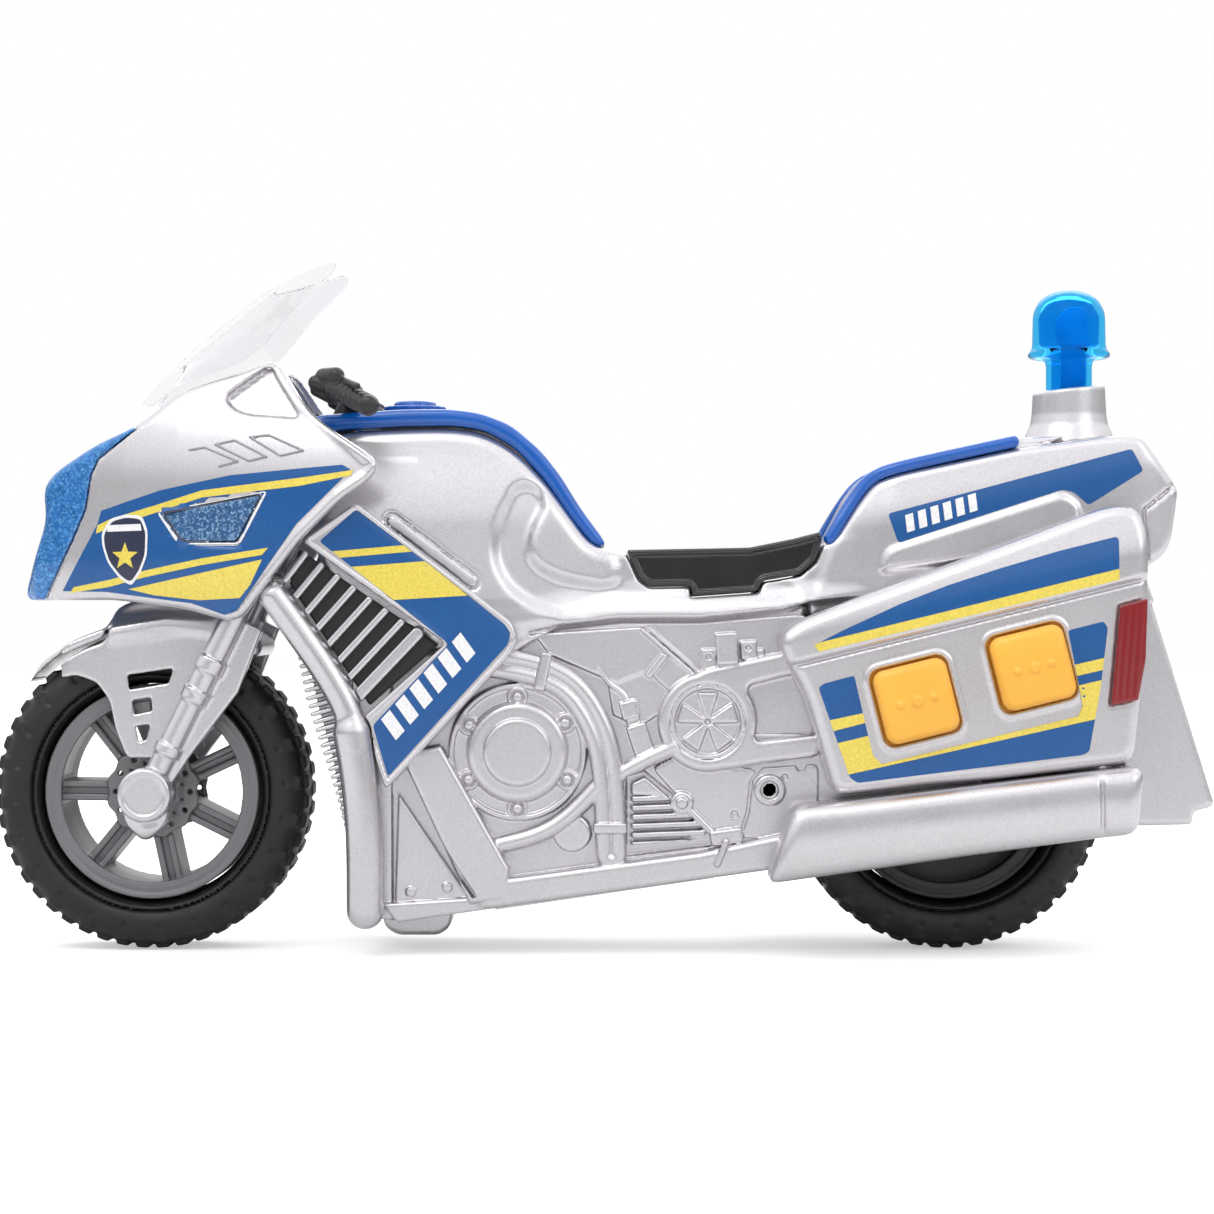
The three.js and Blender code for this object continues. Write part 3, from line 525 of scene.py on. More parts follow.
STICKER_BLUE = printed("sticker_blue", (0.0, 0.085, 0.3))
STICKER_YELLOW = printed("sticker_yellow", (0.8, 0.64, 0.1))
STICKER_WHITE = printed("sticker_white", (0.86, 0.86, 0.87))
STICKER_DARK = printed("sticker_dark", (0.02, 0.025, 0.06))
MARK_GREY = moulded("mark_grey", (0.3, 0.3, 0.32), 0.4, metal=0.5)
STEEL = moulded("bright_steel", (0.6, 0.6, 0.62), 0.25, metal=1.0)
CELL_SLEEVE = moulded("cell_sleeve", (0.03, 0.2, 0.09), 0.3)
BOARD_GREEN = moulded("board_green", (0.02, 0.14, 0.06), 0.45)
LAMP_CLEAR = clear("lamp_clear", (0.95, 0.96, 0.98), 0.05, 1.4)

# ------------------------------------------------------------ outlines in the side view

TANK = [
    (-64.5, 84), (-65.3, 116), (-60, 118.2), (-46, 119), (-34, 119.2), (-27, 118), (-20, 114),
    (-13, 106.5), (-7, 97.9), (-2.6, 92.2), (3.4, 91), (5, 84), (-15, 72), (-50, 72),
]
KNEE_VALLEY = [(-17.5, 102), (-20.6, 95.6), (-20.6, 88), (-15, 82.4), (-4, 79.4), (10, 78.2), (40, 80)]
SEAT_UNDER = [
    (5.3, 90.4), (8, 84.5), (10.4, 82.8), (19.7, 83), (19.7, 80.5), (35, 81.6), (36.2, 84.1),
    (44.7, 85.5), (48.2, 88.7), (49.4, 92.4),
]
BELT = [
    (-62, 70), (-20.9, 67.6), (-9.8, 74.2), (3.7, 75.8), (21.8, 75.8), (39.8, 77.8), (50, 80.3),
    (60, 82), (57, 94), *SEAT_UNDER[::-1], (-4, 91), (-20, 92), (-50, 92),
]
CORE = [
    (-57, 73), (-57, 20), (-55, 8.5), (-46, 7), (-26, 10.3), (27, 17.6), (38, 21), (39.5, 30),
    (39.5, 62), (46, 78), (10, 80), (-15, 76),
]
TAIL = [
    (46, 76), (52.3, 93.5), (57.6, 102), (61.4, 106.8), (67.5, 108.8), (93.7, 114.4),
    (114.4, 117.2), (121.5, 117.6), (129.9, 105.9), (130.4, 104.4), (128.8, 93.5), (127.2, 90.1),
    (123.4, 87.8), (116, 80), (104, 76),
]
TAIL_CROWN = [
    (51, 93.4), (56.2, 103.6), (60.4, 108.6), (66.8, 111), (93, 116.8), (106, 117.6), (93, 112), (62, 98),
]
TAIL_RAIL = [(51.4, 94), (56.8, 103.2), (61, 108.2), (67.2, 110.3), (93, 115.9)]
LAMP_POCKET = [(126.4, 103), (136, 105), (136, 90.4), (124.5, 91.4)]
LAMP = [(126.7, 102.7), (129.8, 103.4), (128.4, 94), (127, 91.5), (124.9, 91.7)]
TAIL_RIDGE = [(62, 86), (63.6, 91.6), (103.8, 104.4), (107.8, 101.8), (108.4, 92)]
SWING_ARM = [(30, 24), (44, 24), (84, 29), (86.5, 36), (84, 43), (44, 50), (30, 50)]
POCKETS = [
    [(-61, 86), (-42.5, 86), (-42.5, 112), (-56, 112), (-58, 105)],
    [(-40, 76), (-17, 76), (-17, 102), (-25, 109), (-40, 112)],
    [(-54, 34), (-31.2, 34), (-31.2, 73.6), (-54, 73.6)],
    [(-54, 11.5), (-49, 10.4), (-29, 13), (-29, 31.4), (-54, 31.4)],
    [(-28.8, 34), (-3.2, 37), (-3.2, 73.6), (-28.8, 73.6)],
    [(-0.8, 37.4), (24.8, 41), (24.8, 74), (-0.8, 74)],
    [(27.4, 41), (36.4, 42), (36.4, 74), (27.4, 74)],
    [(64, 80.4), (82, 80.4), (82, 106), (69, 103.6), (64, 99)],
    [(84.4, 80.4), (104, 80.4), (104, 109), (84.4, 106.6)],
    [(106.4, 82.4), (115, 82.4), (121, 90), (122.6, 102.4), (119.4, 111.4), (106.4, 110.6)],
]
SEAT_ROOM = [*SEAT_UNDER[:-1], (50.4, 93.6), (50.4, 99), (5.3, 99)]
SCREWS = [(-44, 22), (-24, 80), (32, 70), (112, 96)]


def steering(s):
    """Distance along the steering axis from the axle, and off it to the back."""
    u, w = s.x - FRONT[0], s.z - WHEEL_R
    return u * math.sin(RAKE) + w * math.cos(RAKE), u * math.cos(RAKE) - w * math.sin(RAKE)


def bay(s):
    """Coordinates along and above the sloping battery bay."""
    u, w = s.x, s.z - 14.9
    return u * math.cos(SLOPE) + w * math.sin(SLOPE), w * math.cos(SLOPE) - u * math.sin(SLOPE)


# ------------------------------------------------------------ main shell


def tail_width(s):
    """Half the width of the tail, drawn in towards its top, its front and its rear."""
    crown = step_up((s.z - 92 - 0.22 * (s.x - 60)) / 16)
    half = TAIL_HALF - 2.0 * crown * crown - 2.6 * step_up((67 - s.x) / 13)
    return half - 2.0 * step_up((s.x - 121) / 10)


def main_shell():
    s = Space((-68, -24.6, 5), (133, 0.8, 121), 0.62)
    lift = step_up((s.z - 97) / 24)
    valley = step_up((5.6 - s.line(curved(KNEE_VALLEY))) / 3.4)
    tank_half = TANK_HALF - 0.1 * np.maximum(s.z - 80, 0) - 2.2 * lift - 3.0 * step_up((s.x + 20) / 26)
    tank_half = tank_half - 2.0 * valley
    tank = meet(s.side(rounded(TANK, 5)), s.out - tank_half, 3.0)
    belt_half = 21.4 - 4.0 * step_up((s.z - 76) / 9) - 1.0 * step_up((s.x - 44) / 10) - 0.8 * valley
    belt = meet(s.side(rounded(BELT, 0.8)), s.out - belt_half, 0.8)
    core = meet(s.side(rounded(CORE, 2)), s.out - CORE_HALF, 0.8)
    tail_half = tail_width(s) + 0.9 * step_up(-s.side(rounded(TAIL_RIDGE, 2)) / 1.6 + 0.2)
    tail = meet(s.side(rounded(TAIL, 2.4)), s.out - tail_half, 1.8)
    middle = meet(s.side(rounded(TAIL_CROWN, 1.5)), s.out - tail_half + 3.2, 1.5)
    tail = np.minimum(tail, middle)
    arm = meet(s.side(SWING_ARM), s.band(15.4, 19.6), 0.6)
    whole = blend(blend(tank, belt, 1.6), blend(tail, core, 2.0), 2.4)
    whole = np.maximum(whole, -np.maximum(s.side(SEAT_ROOM), s.out - 18.3))
    whole = np.minimum(whole, arm)
    slot = np.abs(s.line([(-47.8, 97.9), (-29.6, 84.1)]) - 1.5) - 0.32
    whole = carve(whole, np.maximum(slot, tank_half - 0.9 - s.out), 0.2)
    rear_crease = s.line([(129.9, 106.4), (122.2, 100.4), (123.4, 86)]) - 0.4
    whole = carve(whole, np.maximum(rear_crease, tail_half - 1.1 - s.out), 0.3)
    seam_points = [(-16.6, 72.4), (-9.8, 73.9), (3.7, 75.4), (21.8, 75.5), (39, 77.3)]
    seam_line = s.line(seam_points)
    whole = carve(whole, np.maximum(seam_line - 0.45, belt_half - 1.0 - s.out), 0.4)
    hollow = np.maximum(s.side(POCKETS[0]), s.out - CORE_HALF + 1.6)
    for points in POCKETS[1:]:
        hollow = np.minimum(hollow, np.maximum(s.side(points), s.out - 15.5))
    for x, z in SCREWS:
        hollow = carve(hollow, s.disc(x, z, 3.8))
        hollow = np.minimum(hollow, np.maximum(s.disc(x, z, 1.5), s.out - 12))
    wheel_room = np.maximum(s.disc(REAR[0], REAR[2], WHEEL_R + 2.6), s.out - 15.4)
    axle_room = np.maximum(s.disc(REAR[0], REAR[2], 1.8), s.out - 18.4)
    lamp_room = np.maximum(s.side(LAMP_POCKET), s.out - LAMP_HALF - 0.3)
    up, off = steering(s)
    bore = np.maximum(np.hypot(off, s.y) - 4.4, np.abs(up - 76) - 16)
    clamp_room = np.maximum(np.hypot(off, s.y) - 9, np.maximum(86.3 - up, up - 110))
    u, w = bay(s)
    cells = np.maximum(np.maximum(np.abs(u) - 25.4, s.out - 17.8 + 1.0), np.maximum(-14 - w, w - 14.6))
    door = np.maximum(np.maximum(np.abs(u) - 25.4, s.out - 17.8), np.maximum(-14 - w, w - 0.4))
    switch = np.maximum(np.maximum(np.abs(u - 33.9) - 4.5, s.out - 1.9), np.maximum(-12 - w, w - 8))
    for room in (hollow, wheel_room, axle_room, lamp_room, bore, clamp_room, cells, door, switch):
        whole = np.maximum(whole, -room)
    return surface(s, np.maximum(whole, s.y + SEAM))


# ------------------------------------------------------------ engine sides

PANEL_LINE = [(-45.7, 45.1), (-36.7, 47.3), (-21, 19.4), (-22.6, 12.6), (-30, 11.6)]


def engine_side():
    """The moulded relief of the engine and its frame, on one side."""
    s = Space((-59.5, -ENGINE_OUT - 0.3, 4.5), (49.5, -CORE_HALF + 1.2, 77), 0.36)
    plate = [
        (-57, 70), (-57.6, 30), (-56.4, 8.8), (-46, 7.2), (-26, 10.5), (27, 17.8), (40, 21.5),
        (47.5, 30), (48, 52), (48.4, 70), (46, 76.8), (39.8, 76.4), (21.8, 74.8), (3.7, 74.8),
        (-9.8, 73.2), (-18, 71.6), (-24, 66),
    ]
    e = s.raised(s.side(rounded(plate, 2)), 18.9, 0.3)

    def add(flat, top, r=0.4, fillet=0.0):
        nonlocal e
        e = blend(e, s.raised(flat, top, r), fillet)

    def cut(flat, floor, r=0.2):
        nonlocal e
        e = carve(e, np.maximum(flat, floor - s.out), r)

    def groove(line, width=0.3, floor=18.3):
        cut(s.line(line) - width, floor)

    add(s.side([(-16, 72.4), (9.4, 74), (17, 66.5), (3, 61), (-12, 67.5)]), 20.1, 0.5)
    add(s.side([(23.5, 62), (8, 51), (2.2, 54), (1, 61), (10, 66)]), 19.9, 0.3)
    clutch = (-19.4, 45.7)
    add(s.disc(*clutch, 15.6), 20.9, 0.6)
    add(np.abs(s.disc(*clutch, 14.9)) - 0.6, 21.6, 0.5)
    for x, z in [(-19.4, 58.1), (-30.4, 51.8), (-30.4, 39.4), (-19.4, 32.9), (-8.2, 39.4), (-8.6, 52.2)]:
        add(s.disc(x, z, 2.3), 21.9, 0.5)
        cut(np.abs(s.disc(x, z, 1.45)) - 0.22, 21.2)
        add(s.disc(x, z, 1.1), 22.5, 0.6)
    add(s.disc(*clutch, 11.4), 22.9, 1.7)
    add(s.disc(*clutch, 7.7), 23.9, 0.9)

    def hose(points, radius, depth, twin=0.0):
        nonlocal e
        d = s.line(curved(points))
        if twin:
            d = np.abs(d - twin)
        e = np.minimum(e, np.hypot(d, s.out - depth) - radius)

    twin_path = [(-26.4, 66.2), (-14.2, 64.2), (-6.4, 59.9), (-0.9, 50.7), (1.1, 41.7), (1.8, 22.7)]
    hose([(-24.6, 24.4), (-14.2, 26.9), (-7.5, 31.2), (-0.6, 38.6)], 2.1, 20.6)
    hose([(3.6, 40.6), (9, 43.6), (15.4, 46.6), (20, 48.4)], 1.9, 20.8)
    hose(twin_path, 1.9, 21.2, 1.65)
    add(s.bar(-13.6, 63.9, 2.4, 8.6, math.radians(-12), 0.4), 23.7, 0.4)
    add(s.bar(1.7, 28.6, 7.8, 2.4, 0, 0.4), 23.7, 0.4)
    add(s.disc(-7.1, 27.4, 4.3), 21.7, 0.8)
    hose([(-1.2, 64.4), (1.4, 60.8), (4.6, 58.8), (5.3, 56.6)], 0.6, 19.7)
    add(s.bar(5.9, 55.2, 3.9, 4.0, math.radians(15), 0.3), 21.2, 0.3)
    add(s.bar(6.9, 52.2, 3.0, 2.4, math.radians(15), 0.3), 20.9, 0.3)
    add(s.bar(8.4, 48.2, 4.4, 7.6, math.radians(18), 0.3), 21.6, 0.3)
    add(s.bar(11.9, 65.2, 6.6, 1.7, math.radians(52), 0.3), 21.9, 0.4)
    add(s.bar(15.8, 62.6, 7.5, 6.0, math.radians(-42), 0.3), 20.7, 0.3)
    for shift in (0.0, 1.9):
        add(s.line([(8.8 + shift, 73.2), (21 + shift, 62.6)]) - 0.45, 21.0, 0.3)
    # drive cover with its fan, and the recess between its two arms
    cover = [
        (14.5, 58), (21.7, 64.2), (40.5, 68.2), (49.2, 69.2), (49.2, 44.6), (44, 44.1), (25, 41.4),
        (16, 44.5),
    ]
    recess = [(32.6, 60.6), (41.5, 62.8), (49, 63.6), (49, 49.6), (46, 49.6), (34.4, 48.2)]
    arms = carve(s.side(rounded(cover, 3)), s.side(rounded(recess, 1.5)), 0.5)
    add(np.minimum(arms, s.disc(23.5, 52.5, 11.2)), 22.4, 1.2, 0.3)
    cut(s.disc(23.5, 52.5, 8.5), 21.2, 0.5)
    add(np.abs(s.disc(23.5, 52.5, 7.9)) - 0.45, 22.2, 0.3)
    for k in range(5):
        angle = math.radians(90 + 72 * k)
        u, w = s.turned(23.5, 52.5, angle)
        blade = np.maximum(np.abs(w) - 0.35 - 0.3 * np.maximum(u, 0), np.abs(u - 3.6) - 3.0)
        add(blade, 22.1, 0.35)
    for x0, x1, z0, z1, top in [(22.2, 25.4, 64.4, 69.0, 21.6), (25.4, 30.2, 65.4, 72.6, 23.0),
                                (30.9, 34.6, 66.6, 70.8, 21.6), (34.6, 36.4, 67, 69, 21)]:
        add(s.bar((x0 + x1) / 2, (z0 + z1) / 2, x1 - x0, z1 - z0, math.radians(4), 0.4), top, 0.4)
    for x, z in [(23.7, 67.2), (32.7, 69.2)]:
        cut(s.disc(x, z, 0.6), 20.9)
    # case plate behind the fins, with its holes and pivot
    case = [
        (17, 45), (22, 42), (34, 42), (48.6, 43), (48.6, 30), (38, 26), (30, 26.4), (24.4, 28.5),
        (15.5, 37), (11, 42),
    ]
    add(s.side(rounded(case, 1.5)), 20.4, 0.4)
    groove([(36.2, 43), (33.4, 39.2), (32.6, 32), (31, 27)], 0.35, 19.5)
    small_discs = [(34.1, 42.0, 0.7), (29.6, 31.6, 0.8), (42.4, 43.3, 0.7), (44.6, 42.4, 1.1), (41, 40, 0.7)]
    for x, z, r in small_discs:
        cut(s.disc(x, z, r), 19.6)
    add(s.disc(37.5, 37.1, 3.5), 21.8, 0.5)
    cut(s.disc(37.5, 37.1, 2.0), 19.6)
    # cooling fins in their dark frame
    frame_in = s.side([(5.2, 40.2), (9.2, 41.4), (24.6, 28.6), (24.6, 24.4), (5.2, 22)])
    cut(frame_in, 18.1)
    fins_in = s.side([(6.4, 38.6), (9.4, 40), (22.9, 28.2), (22.9, 26), (6.4, 24.6)])
    ribs = np.abs((s.z - 0.04 * s.x + 1.1) % 2.05 - 1.02) - 0.62
    add(np.maximum(fins_in, np.minimum(ribs, 36 - s.z)), 21.2, 0.35)
    add(s.disc(17.7, 34.2, 2.6), 21.6, 0.6)
    add(s.disc(17.7, 34.2, 1.3), 22.3, 0.5)
    hose([(19.4, 32.6), (24.6, 27.4)], 0.9, 20.6)
    add(s.bar(27.8, 26.6, 7.4, 3.4, math.radians(8), 0.8), 21.9, 0.6)
    # frame rails, brace and gusset
    rail = [(-21.8, 17.4), (21.7, 23.2), (43, 27.8), (43, 22), (37.4, 19.2), (-24.6, 10.6), (-29, 10.6)]
    add(s.side(rail), 23.6, 1.3)
    hose([(27.6, 25.6), (25.6, 20.6)], 0.8, 23.6)
    add(s.side(PANEL_LINE), 23.9, 1.0)
    add(s.side([(-46.2, 36.2), (-47, 11.6), (-30.4, 13)]), 21.6, 0.4)
    groove([(-44.6, 36.8), (-29.2, 13.4)], 0.55, 19.4)
    for x, z in [(-43.4, 14.2), (-35.2, 15.2)]:
        add(s.disc(x, z, 1.15), 22.2, 0.4)
    add(s.side([(-57, 70), (-57.4, 28), (-56.2, 9.2), (-47.6, 7.6), (-47.8, 70)]), 21.2, 0.6)
    add(s.side([(-50, 11.6), (-46.5, 7.4), (-24, 10.6), (-28, 13)]), 22.8, 0.6)
    return surface(s, e)

# ------------------------------------------------------------ fairing and screen

FAIRING = [
    (-134.2, 79.9), (-130.8, 89.5), (-127.6, 98.5), (-128.5, 105.5), (-125.4, 109.2), (-115.5, 115.2),
    (-105.5, 119.4), (-95.9, 127), (-81.9, 131.8), (-73.8, 134.7), (-65.7, 122), (-60, 117.6),
    (-53, 113.2), (-49.7, 110.5), (-51.4, 106.9), (-58.5, 102.1), (-67.5, 93.2), (-76.1, 82.1),
    (-80, 76.5), (-83.4, 75), (-94.8, 78.1), (-111.5, 80),
]
FAIRING_BACK = [
    (-65.4, 123.5), (-53, 113.2), (-49.7, 110.5), (-51.4, 106.9), (-58.5, 102.1), (-67.5, 93.2),
    (-76.1, 82.1), (-80, 76.5), (-83.4, 75),
]
FAIRING_ROOM = [
    (-129.5, 70), (-128.5, 84), (-124.4, 98), (-125.8, 105), (-123.8, 107.4), (-114.4, 112.6),
    (-104.4, 116.8), (-94.8, 124.5), (-82, 129.4), (-76, 131.2), (-76, 145), (-40, 145), (-40, 70),
]
FAIRING_WIDTH = [
    (-134.6, 0), (-133.6, 5), (-130.4, 9.4), (-125.4, 13), (-117.5, 16.8), (-108, 21), (-96, 25),
    (-83, 28.4), (-68, 31.4), (-45, 33.4),
]
LENS = [
    (-105.7, 118.6), (-114.6, 111.9), (-116.3, 108.3), (-117.7, 100.3), (-120.9, 93.5),
    (-128.2, 79.7), (-140, 70), (-140, 122), (-107, 121),
]
SIDE_WINDOW = [(-99, 99.5), (-76.2, 103.5), (-81.8, 93), (-94.5, 93)]
SCREEN_RECESS = [(-85.4, 125.6), (-83.4, 123), (-80, 121.6), (-67.6, 120.6), (-73.6, 129.6), (-75.4, 133.4)]
HOOD_MARKS = [
    [(-93, 113.6), (-89.4, 114.2), (-81.6, 110.9), (-86, 109.8)],
    [(-87, 114.8), (-82.5, 115.7), (-75.1, 111.9), (-79.1, 111), (-87, 114.8)],
    [(-79.1, 116.4), (-74.7, 116.8), (-66.8, 113.2), (-72, 112.1), (-79.1, 116.4)],
]
SCREEN_LEAN = math.atan2(35.8, 44)


def fairing_half(s):
    x, y = zip(*FAIRING_WIDTH)
    half = np.interp(s.x, x, y).astype(np.float32)
    high = np.maximum(s.z - 104, 0)
    low = np.maximum(90 - s.z, 0)
    return half * (1 - 0.00042 * high * high) - 0.012 * low * low


def fairing_body(s):
    """The outside of the fairing, and the thin shell left when it is hollowed."""
    half = fairing_half(s)
    lip = step_up(1.4 - s.line(FAIRING_BACK) / 2.2)
    outside = meet(s.side(rounded(FAIRING, 3)), s.out - half - 0.8 * lip, 1.4)
    room = np.maximum(s.side(FAIRING_ROOM), s.out - half + 2)
    return outside, np.maximum(outside, -room), half


def fairing():
    s = Space((-135, -34.6, 73.5), (-48, 34.6, 136), 0.6)
    outside, shell, half = fairing_body(s)
    recess = s.side(rounded(SCREEN_RECESS, 2))
    dent = np.maximum(recess, half - 2.4 - s.out)
    backing = np.maximum(np.maximum(recess - 1.6, outside + 1.2), half - 3.7 - s.out)
    shell = carve(np.minimum(shell, backing), dent, 1.2)
    window = s.side(rounded(SIDE_WINDOW, 0.8)) - 0.15
    shell = np.maximum(shell, -np.maximum(s.side(LENS) - 0.15, -1))
    whole = np.maximum(shell, -window)
    return surface(s, whole)


def hood_marks():
    """Thin raised outlines on the flank of the fairing, below the screen."""
    s = Space((-96, -36, 107), (-64, -12, 119), 0.3)
    lines = np.minimum.reduce([np.abs(s.line(points)) for points in HOOD_MARKS]) - 0.27
    outside, _, half = fairing_body(s)
    strips = np.maximum(lines, np.abs(outside - 0.04) - 0.3)
    return surface(s, np.maximum(np.maximum(strips, half - 4 - s.out), s.y))


def headlight_lens():
    s = Space((-135, -22, 78), (-104, 22, 120.5), 0.45)
    _, shell, _ = fairing_body(s)
    lens = meet(shell, s.side(LENS) + 0.15, 0.5)
    ridge = np.abs(s.out - 5.5) - 0.25
    return surface(s, carve(lens, np.maximum(ridge, -shell - 0.5 - 50 * (s.x > -118)), 0.2))


def side_window():
    s = Space((-101, -31, 91), (-74, -18, 105), 0.35)
    _, _, half = fairing_body(s)
    flat = s.side(rounded(SIDE_WINDOW, 0.8)) + 0.15
    pane = np.maximum(meet(flat, s.out - half + 0.1, 0.2), half - 1.8 - s.out)
    return surface(s, pane)


def windscreen():
    s = Space((-108, -22, 121), (-59, 22, 159), 0.42)
    u, w = s.x + 108, s.z - 98
    off = u * math.sin(SCREEN_LEAN) - w * math.cos(SCREEN_LEAN)
    sheet = np.abs(np.hypot(off, s.y) - 22.2) - 0.7
    side = rounded([
        (-103.4, 123.6), (-96, 128.8), (-81.9, 133.6), (-77, 137.4), (-70, 146), (-61, 154.6),
        (-60.8, 157.6), (-80, 150.4), (-94, 139), (-105.8, 124.8),
    ], 2)
    return surface(s, meet(meet(sheet, s.side(side), 0.4), off, 0.2))


# ------------------------------------------------------------ tank cover, seat and tail trim


def tank_cover():
    s = Space((-67.6, -16.6, 91), (2, 16.6, 124.4), 0.45)
    top = [
        (-66.5, 122), (-46, 123.4), (-35, 123.5), (-28, 122.6), (-21, 119.9), (-14.4, 114.2),
        (-9.9, 108.5), (-5.3, 101), (1, 92.4), (-2.2, 92), (-7.4, 98.2), (-13.4, 107.1),
        (-20.3, 114.7), (-27.1, 118.6), (-34, 119.7), (-46, 119.5), (-60, 118.7), (-66.3, 117.4),
    ]
    _, off = steering(s)
    side = s.side(rounded(top, 2.5))
    cover = meet(side, s.out - 15.9, 1.5)
    channel = np.maximum(np.abs(s.out - 11) - 0.3, -side - 0.5)
    cover = carve(cover, channel, 0.3)
    return surface(s, np.maximum(cover, 9 - np.hypot(off, s.y)))


def fuel_cap():
    s = Space((-52, -8, 123.4), (-36, 8, 126.6), 0.25)
    r = np.hypot(s.x + 43.8, s.y)
    turn = np.arctan2(s.y, s.x + 43.8)
    rim = r - 7.2 + 0.25 * (np.cos(turn * 16) > 0.3)
    base = meet(rim, np.abs(s.z - 124.35) - 0.55, 0.2)
    cap = meet(r - 4.9, s.z - 126.1, 0.8)
    return surface(s, np.minimum(base, np.maximum(cap, 124 - s.z)))


def seat():
    """A dished saddle with a panelled skirt and a tab below it."""
    s = Space((3.6, -18.6, 79.6), (51.4, 18.6, 97.4), 0.42)
    outline = [*SEAT_UNDER[:-1], (49.8, 93), (49.4, 96), (43, 94.4), (33, 92.4), (4.9, 91.8)]
    side = s.side(rounded(outline, 0.9)) + 0.25
    pad = meet(side, s.out - 18, 0.8)
    crest = np.interp(s.x, [5, 33, 43, 49.5], [91.6, 92.1, 94.1, 95.8]).astype(np.float32)
    dish = 2.0 * np.clip(1 - (s.y / 15.4) ** 2, 0, 1)
    pad = meet(pad, s.z - crest + dish, 0.6)
    panel = np.maximum(np.maximum(side + 1.1, s.z - crest + 1.5), 17.4 - s.out)
    return surface(s, carve(pad, panel, 0.4))


def tail_trim():
    """A round-backed rail along the upper edge of the tail."""
    s = Space((48.6, -20.6, 91.6), (95.8, -12.6, 119), 0.36)
    path = s.line(curved(TAIL_RAIL, 2))
    rail = np.hypot(path, np.maximum(np.abs(s.out - tail_width(s) + 1.7) - 0.4, 0)) - 1.4
    return surface(s, rail)


# ------------------------------------------------------------ beacon


def beacon_base():
    """A round post, flared into the tail and cut at a slope."""
    x = BEACON[0]
    s = Space((x - 12, -12, 114), (x + 12, 12, 131.4), 0.4)
    r = np.hypot(s.x - x, s.y)
    half = np.interp(s.z, [115, 118.6, 120.6, 123, 131], [11.4, 9.9, 9.0, 8.6, 8.2]).astype(np.float32)
    post = meet(r - half, s.z - 129 - 0.105 * (s.x - x), 0.7)
    well = np.maximum(r - 5.8, 121 - s.z)
    tail = meet(s.side(rounded(TAIL, 2.4)), s.out - tail_width(s), 1.8)
    return surface(s, np.maximum(np.maximum(post, -well), 0.05 - tail))


def beacon_dome():
    """A clear dome with a brim, on a hollow stem."""
    x = BEACON[0]
    s = Space((x - 10, -10, 122), (x + 10, 10, 152.6), 0.36)
    r = np.hypot(s.x - x, s.y)
    outer = rounded([
        (-3, 151.9), (2.8, 151.8), (6.4, 150.2), (8.3, 147), (8.5, 138.2), (9.45, 137.4), (9.45, 136.1),
        (5.3, 135.9), (5.3, 123), (-3, 123),
    ], 1.6)
    inner = rounded([
        (-3, 122), (4.1, 122), (4.1, 137), (6.8, 138.4), (7.1, 146), (5.4, 148.8), (2.4, 150.2), (-3, 150.3),
    ], 1.2)
    return surface(s, np.maximum(polygon(outer, r, s.z), -polygon(inner, r, s.z)))


def beacon_core():
    """The light guide in the stem, set a little to the rear and wavy on its front."""
    x = BEACON[0] + 0.9
    s = Space((x - 4.4, -4.4, 121), (x + 4.4, 4.4, 149), 0.3)
    wave = 0.45 * np.sin((s.z - 137) * 0.75) * (s.z > 137)
    r = np.hypot(s.x - x - wave, s.y)
    width = np.interp(s.z, [121, 137, 139, 145, 149], [2.8, 2.8, 3.8, 3.8, 2.4]).astype(np.float32)
    return surface(s, meet(r - width, np.abs(s.z - 134.6) - 13.6, 1.6))


# ------------------------------------------------------------ panniers

BAG = [
    (50.8, 35.6), (44.6, 57.7), (39.9, 66.6), (38.8, 72.1), (43.5, 75.6), (112.1, 101), (118.7, 101),
    (121, 95.3), (121, 79.8), (119.4, 57.7), (118, 43.6),
]
BAG_ROOM = [
    (53.4, 38.6), (47.6, 58.4), (43.6, 66.8), (46.4, 73.6), (112.4, 97.8), (117.2, 97.8), (118, 79.8),
    (116.6, 57.7), (115.2, 46.2),
]
LID_LINE = [(36, 63.6), (40.2, 64.8), (120.9, 84.7), (124, 85.5)]
REFLECTOR = [(114.4, 78.7), (120.5, 80.3), (120, 66.6), (118.4, 57.8), (112.4, 56.6)]


def pannier(right=False):
    s = Space((37, -BAG_OUT - 0.4, 34.6), (122.6, -BAG_IN + 0.2, 102.2), 0.5)
    rise = (s.z - 64.8) - (s.x - 40.2) * 0.2466
    lid = step_up(rise / 1.2)
    slope = 2.6 * step_up((rise - 5) / 16)
    out = BAG_OUT - 0.9 * (1 - lid) - slope - 0.25
    flat = s.side(rounded(BAG, 3.6)) + 0.08
    edge = meet(flat + 0.5 * (1 - lid) * step_up((s.x - 90) / -20), s.out - out, 2.6)
    ledge = np.maximum(s.line(LID_LINE) - 0.35, out - 0.8 - s.out)
    bag = carve(edge, ledge, 0.4)
    bag = np.maximum(bag, -np.maximum(s.side(BAG_ROOM), s.out - BAG_OUT + 3.4 + slope))
    if right:
        for k in range(-3, 4):
            bar = s.bar(82, 66 + 3 * k, 24 - 2 * abs(k), 1.6, 0, 0.8)
            bag = np.maximum(bag, -np.maximum(bar, 28 - s.out))
    else:
        for x, _, z in BUTTONS.values():
            hole = s.bar(x, z, BUTTON + 0.9, BUTTON + 0.9, BUTTON_TILT, 2.4)
            rim = np.maximum(np.abs(hole - 0.6) - 0.5, s.out - out - 0.35)
            rim = np.maximum(rim, out - 1 - s.out)
            bag = blend(bag, rim, 0.5)
            bag = np.maximum(bag, -np.maximum(hole, 28 - s.out))
    recess = np.maximum(s.side(REFLECTOR) - 0.25, BAG_OUT - 1.5 - s.out)
    return surface(s, np.maximum(bag, -recess))


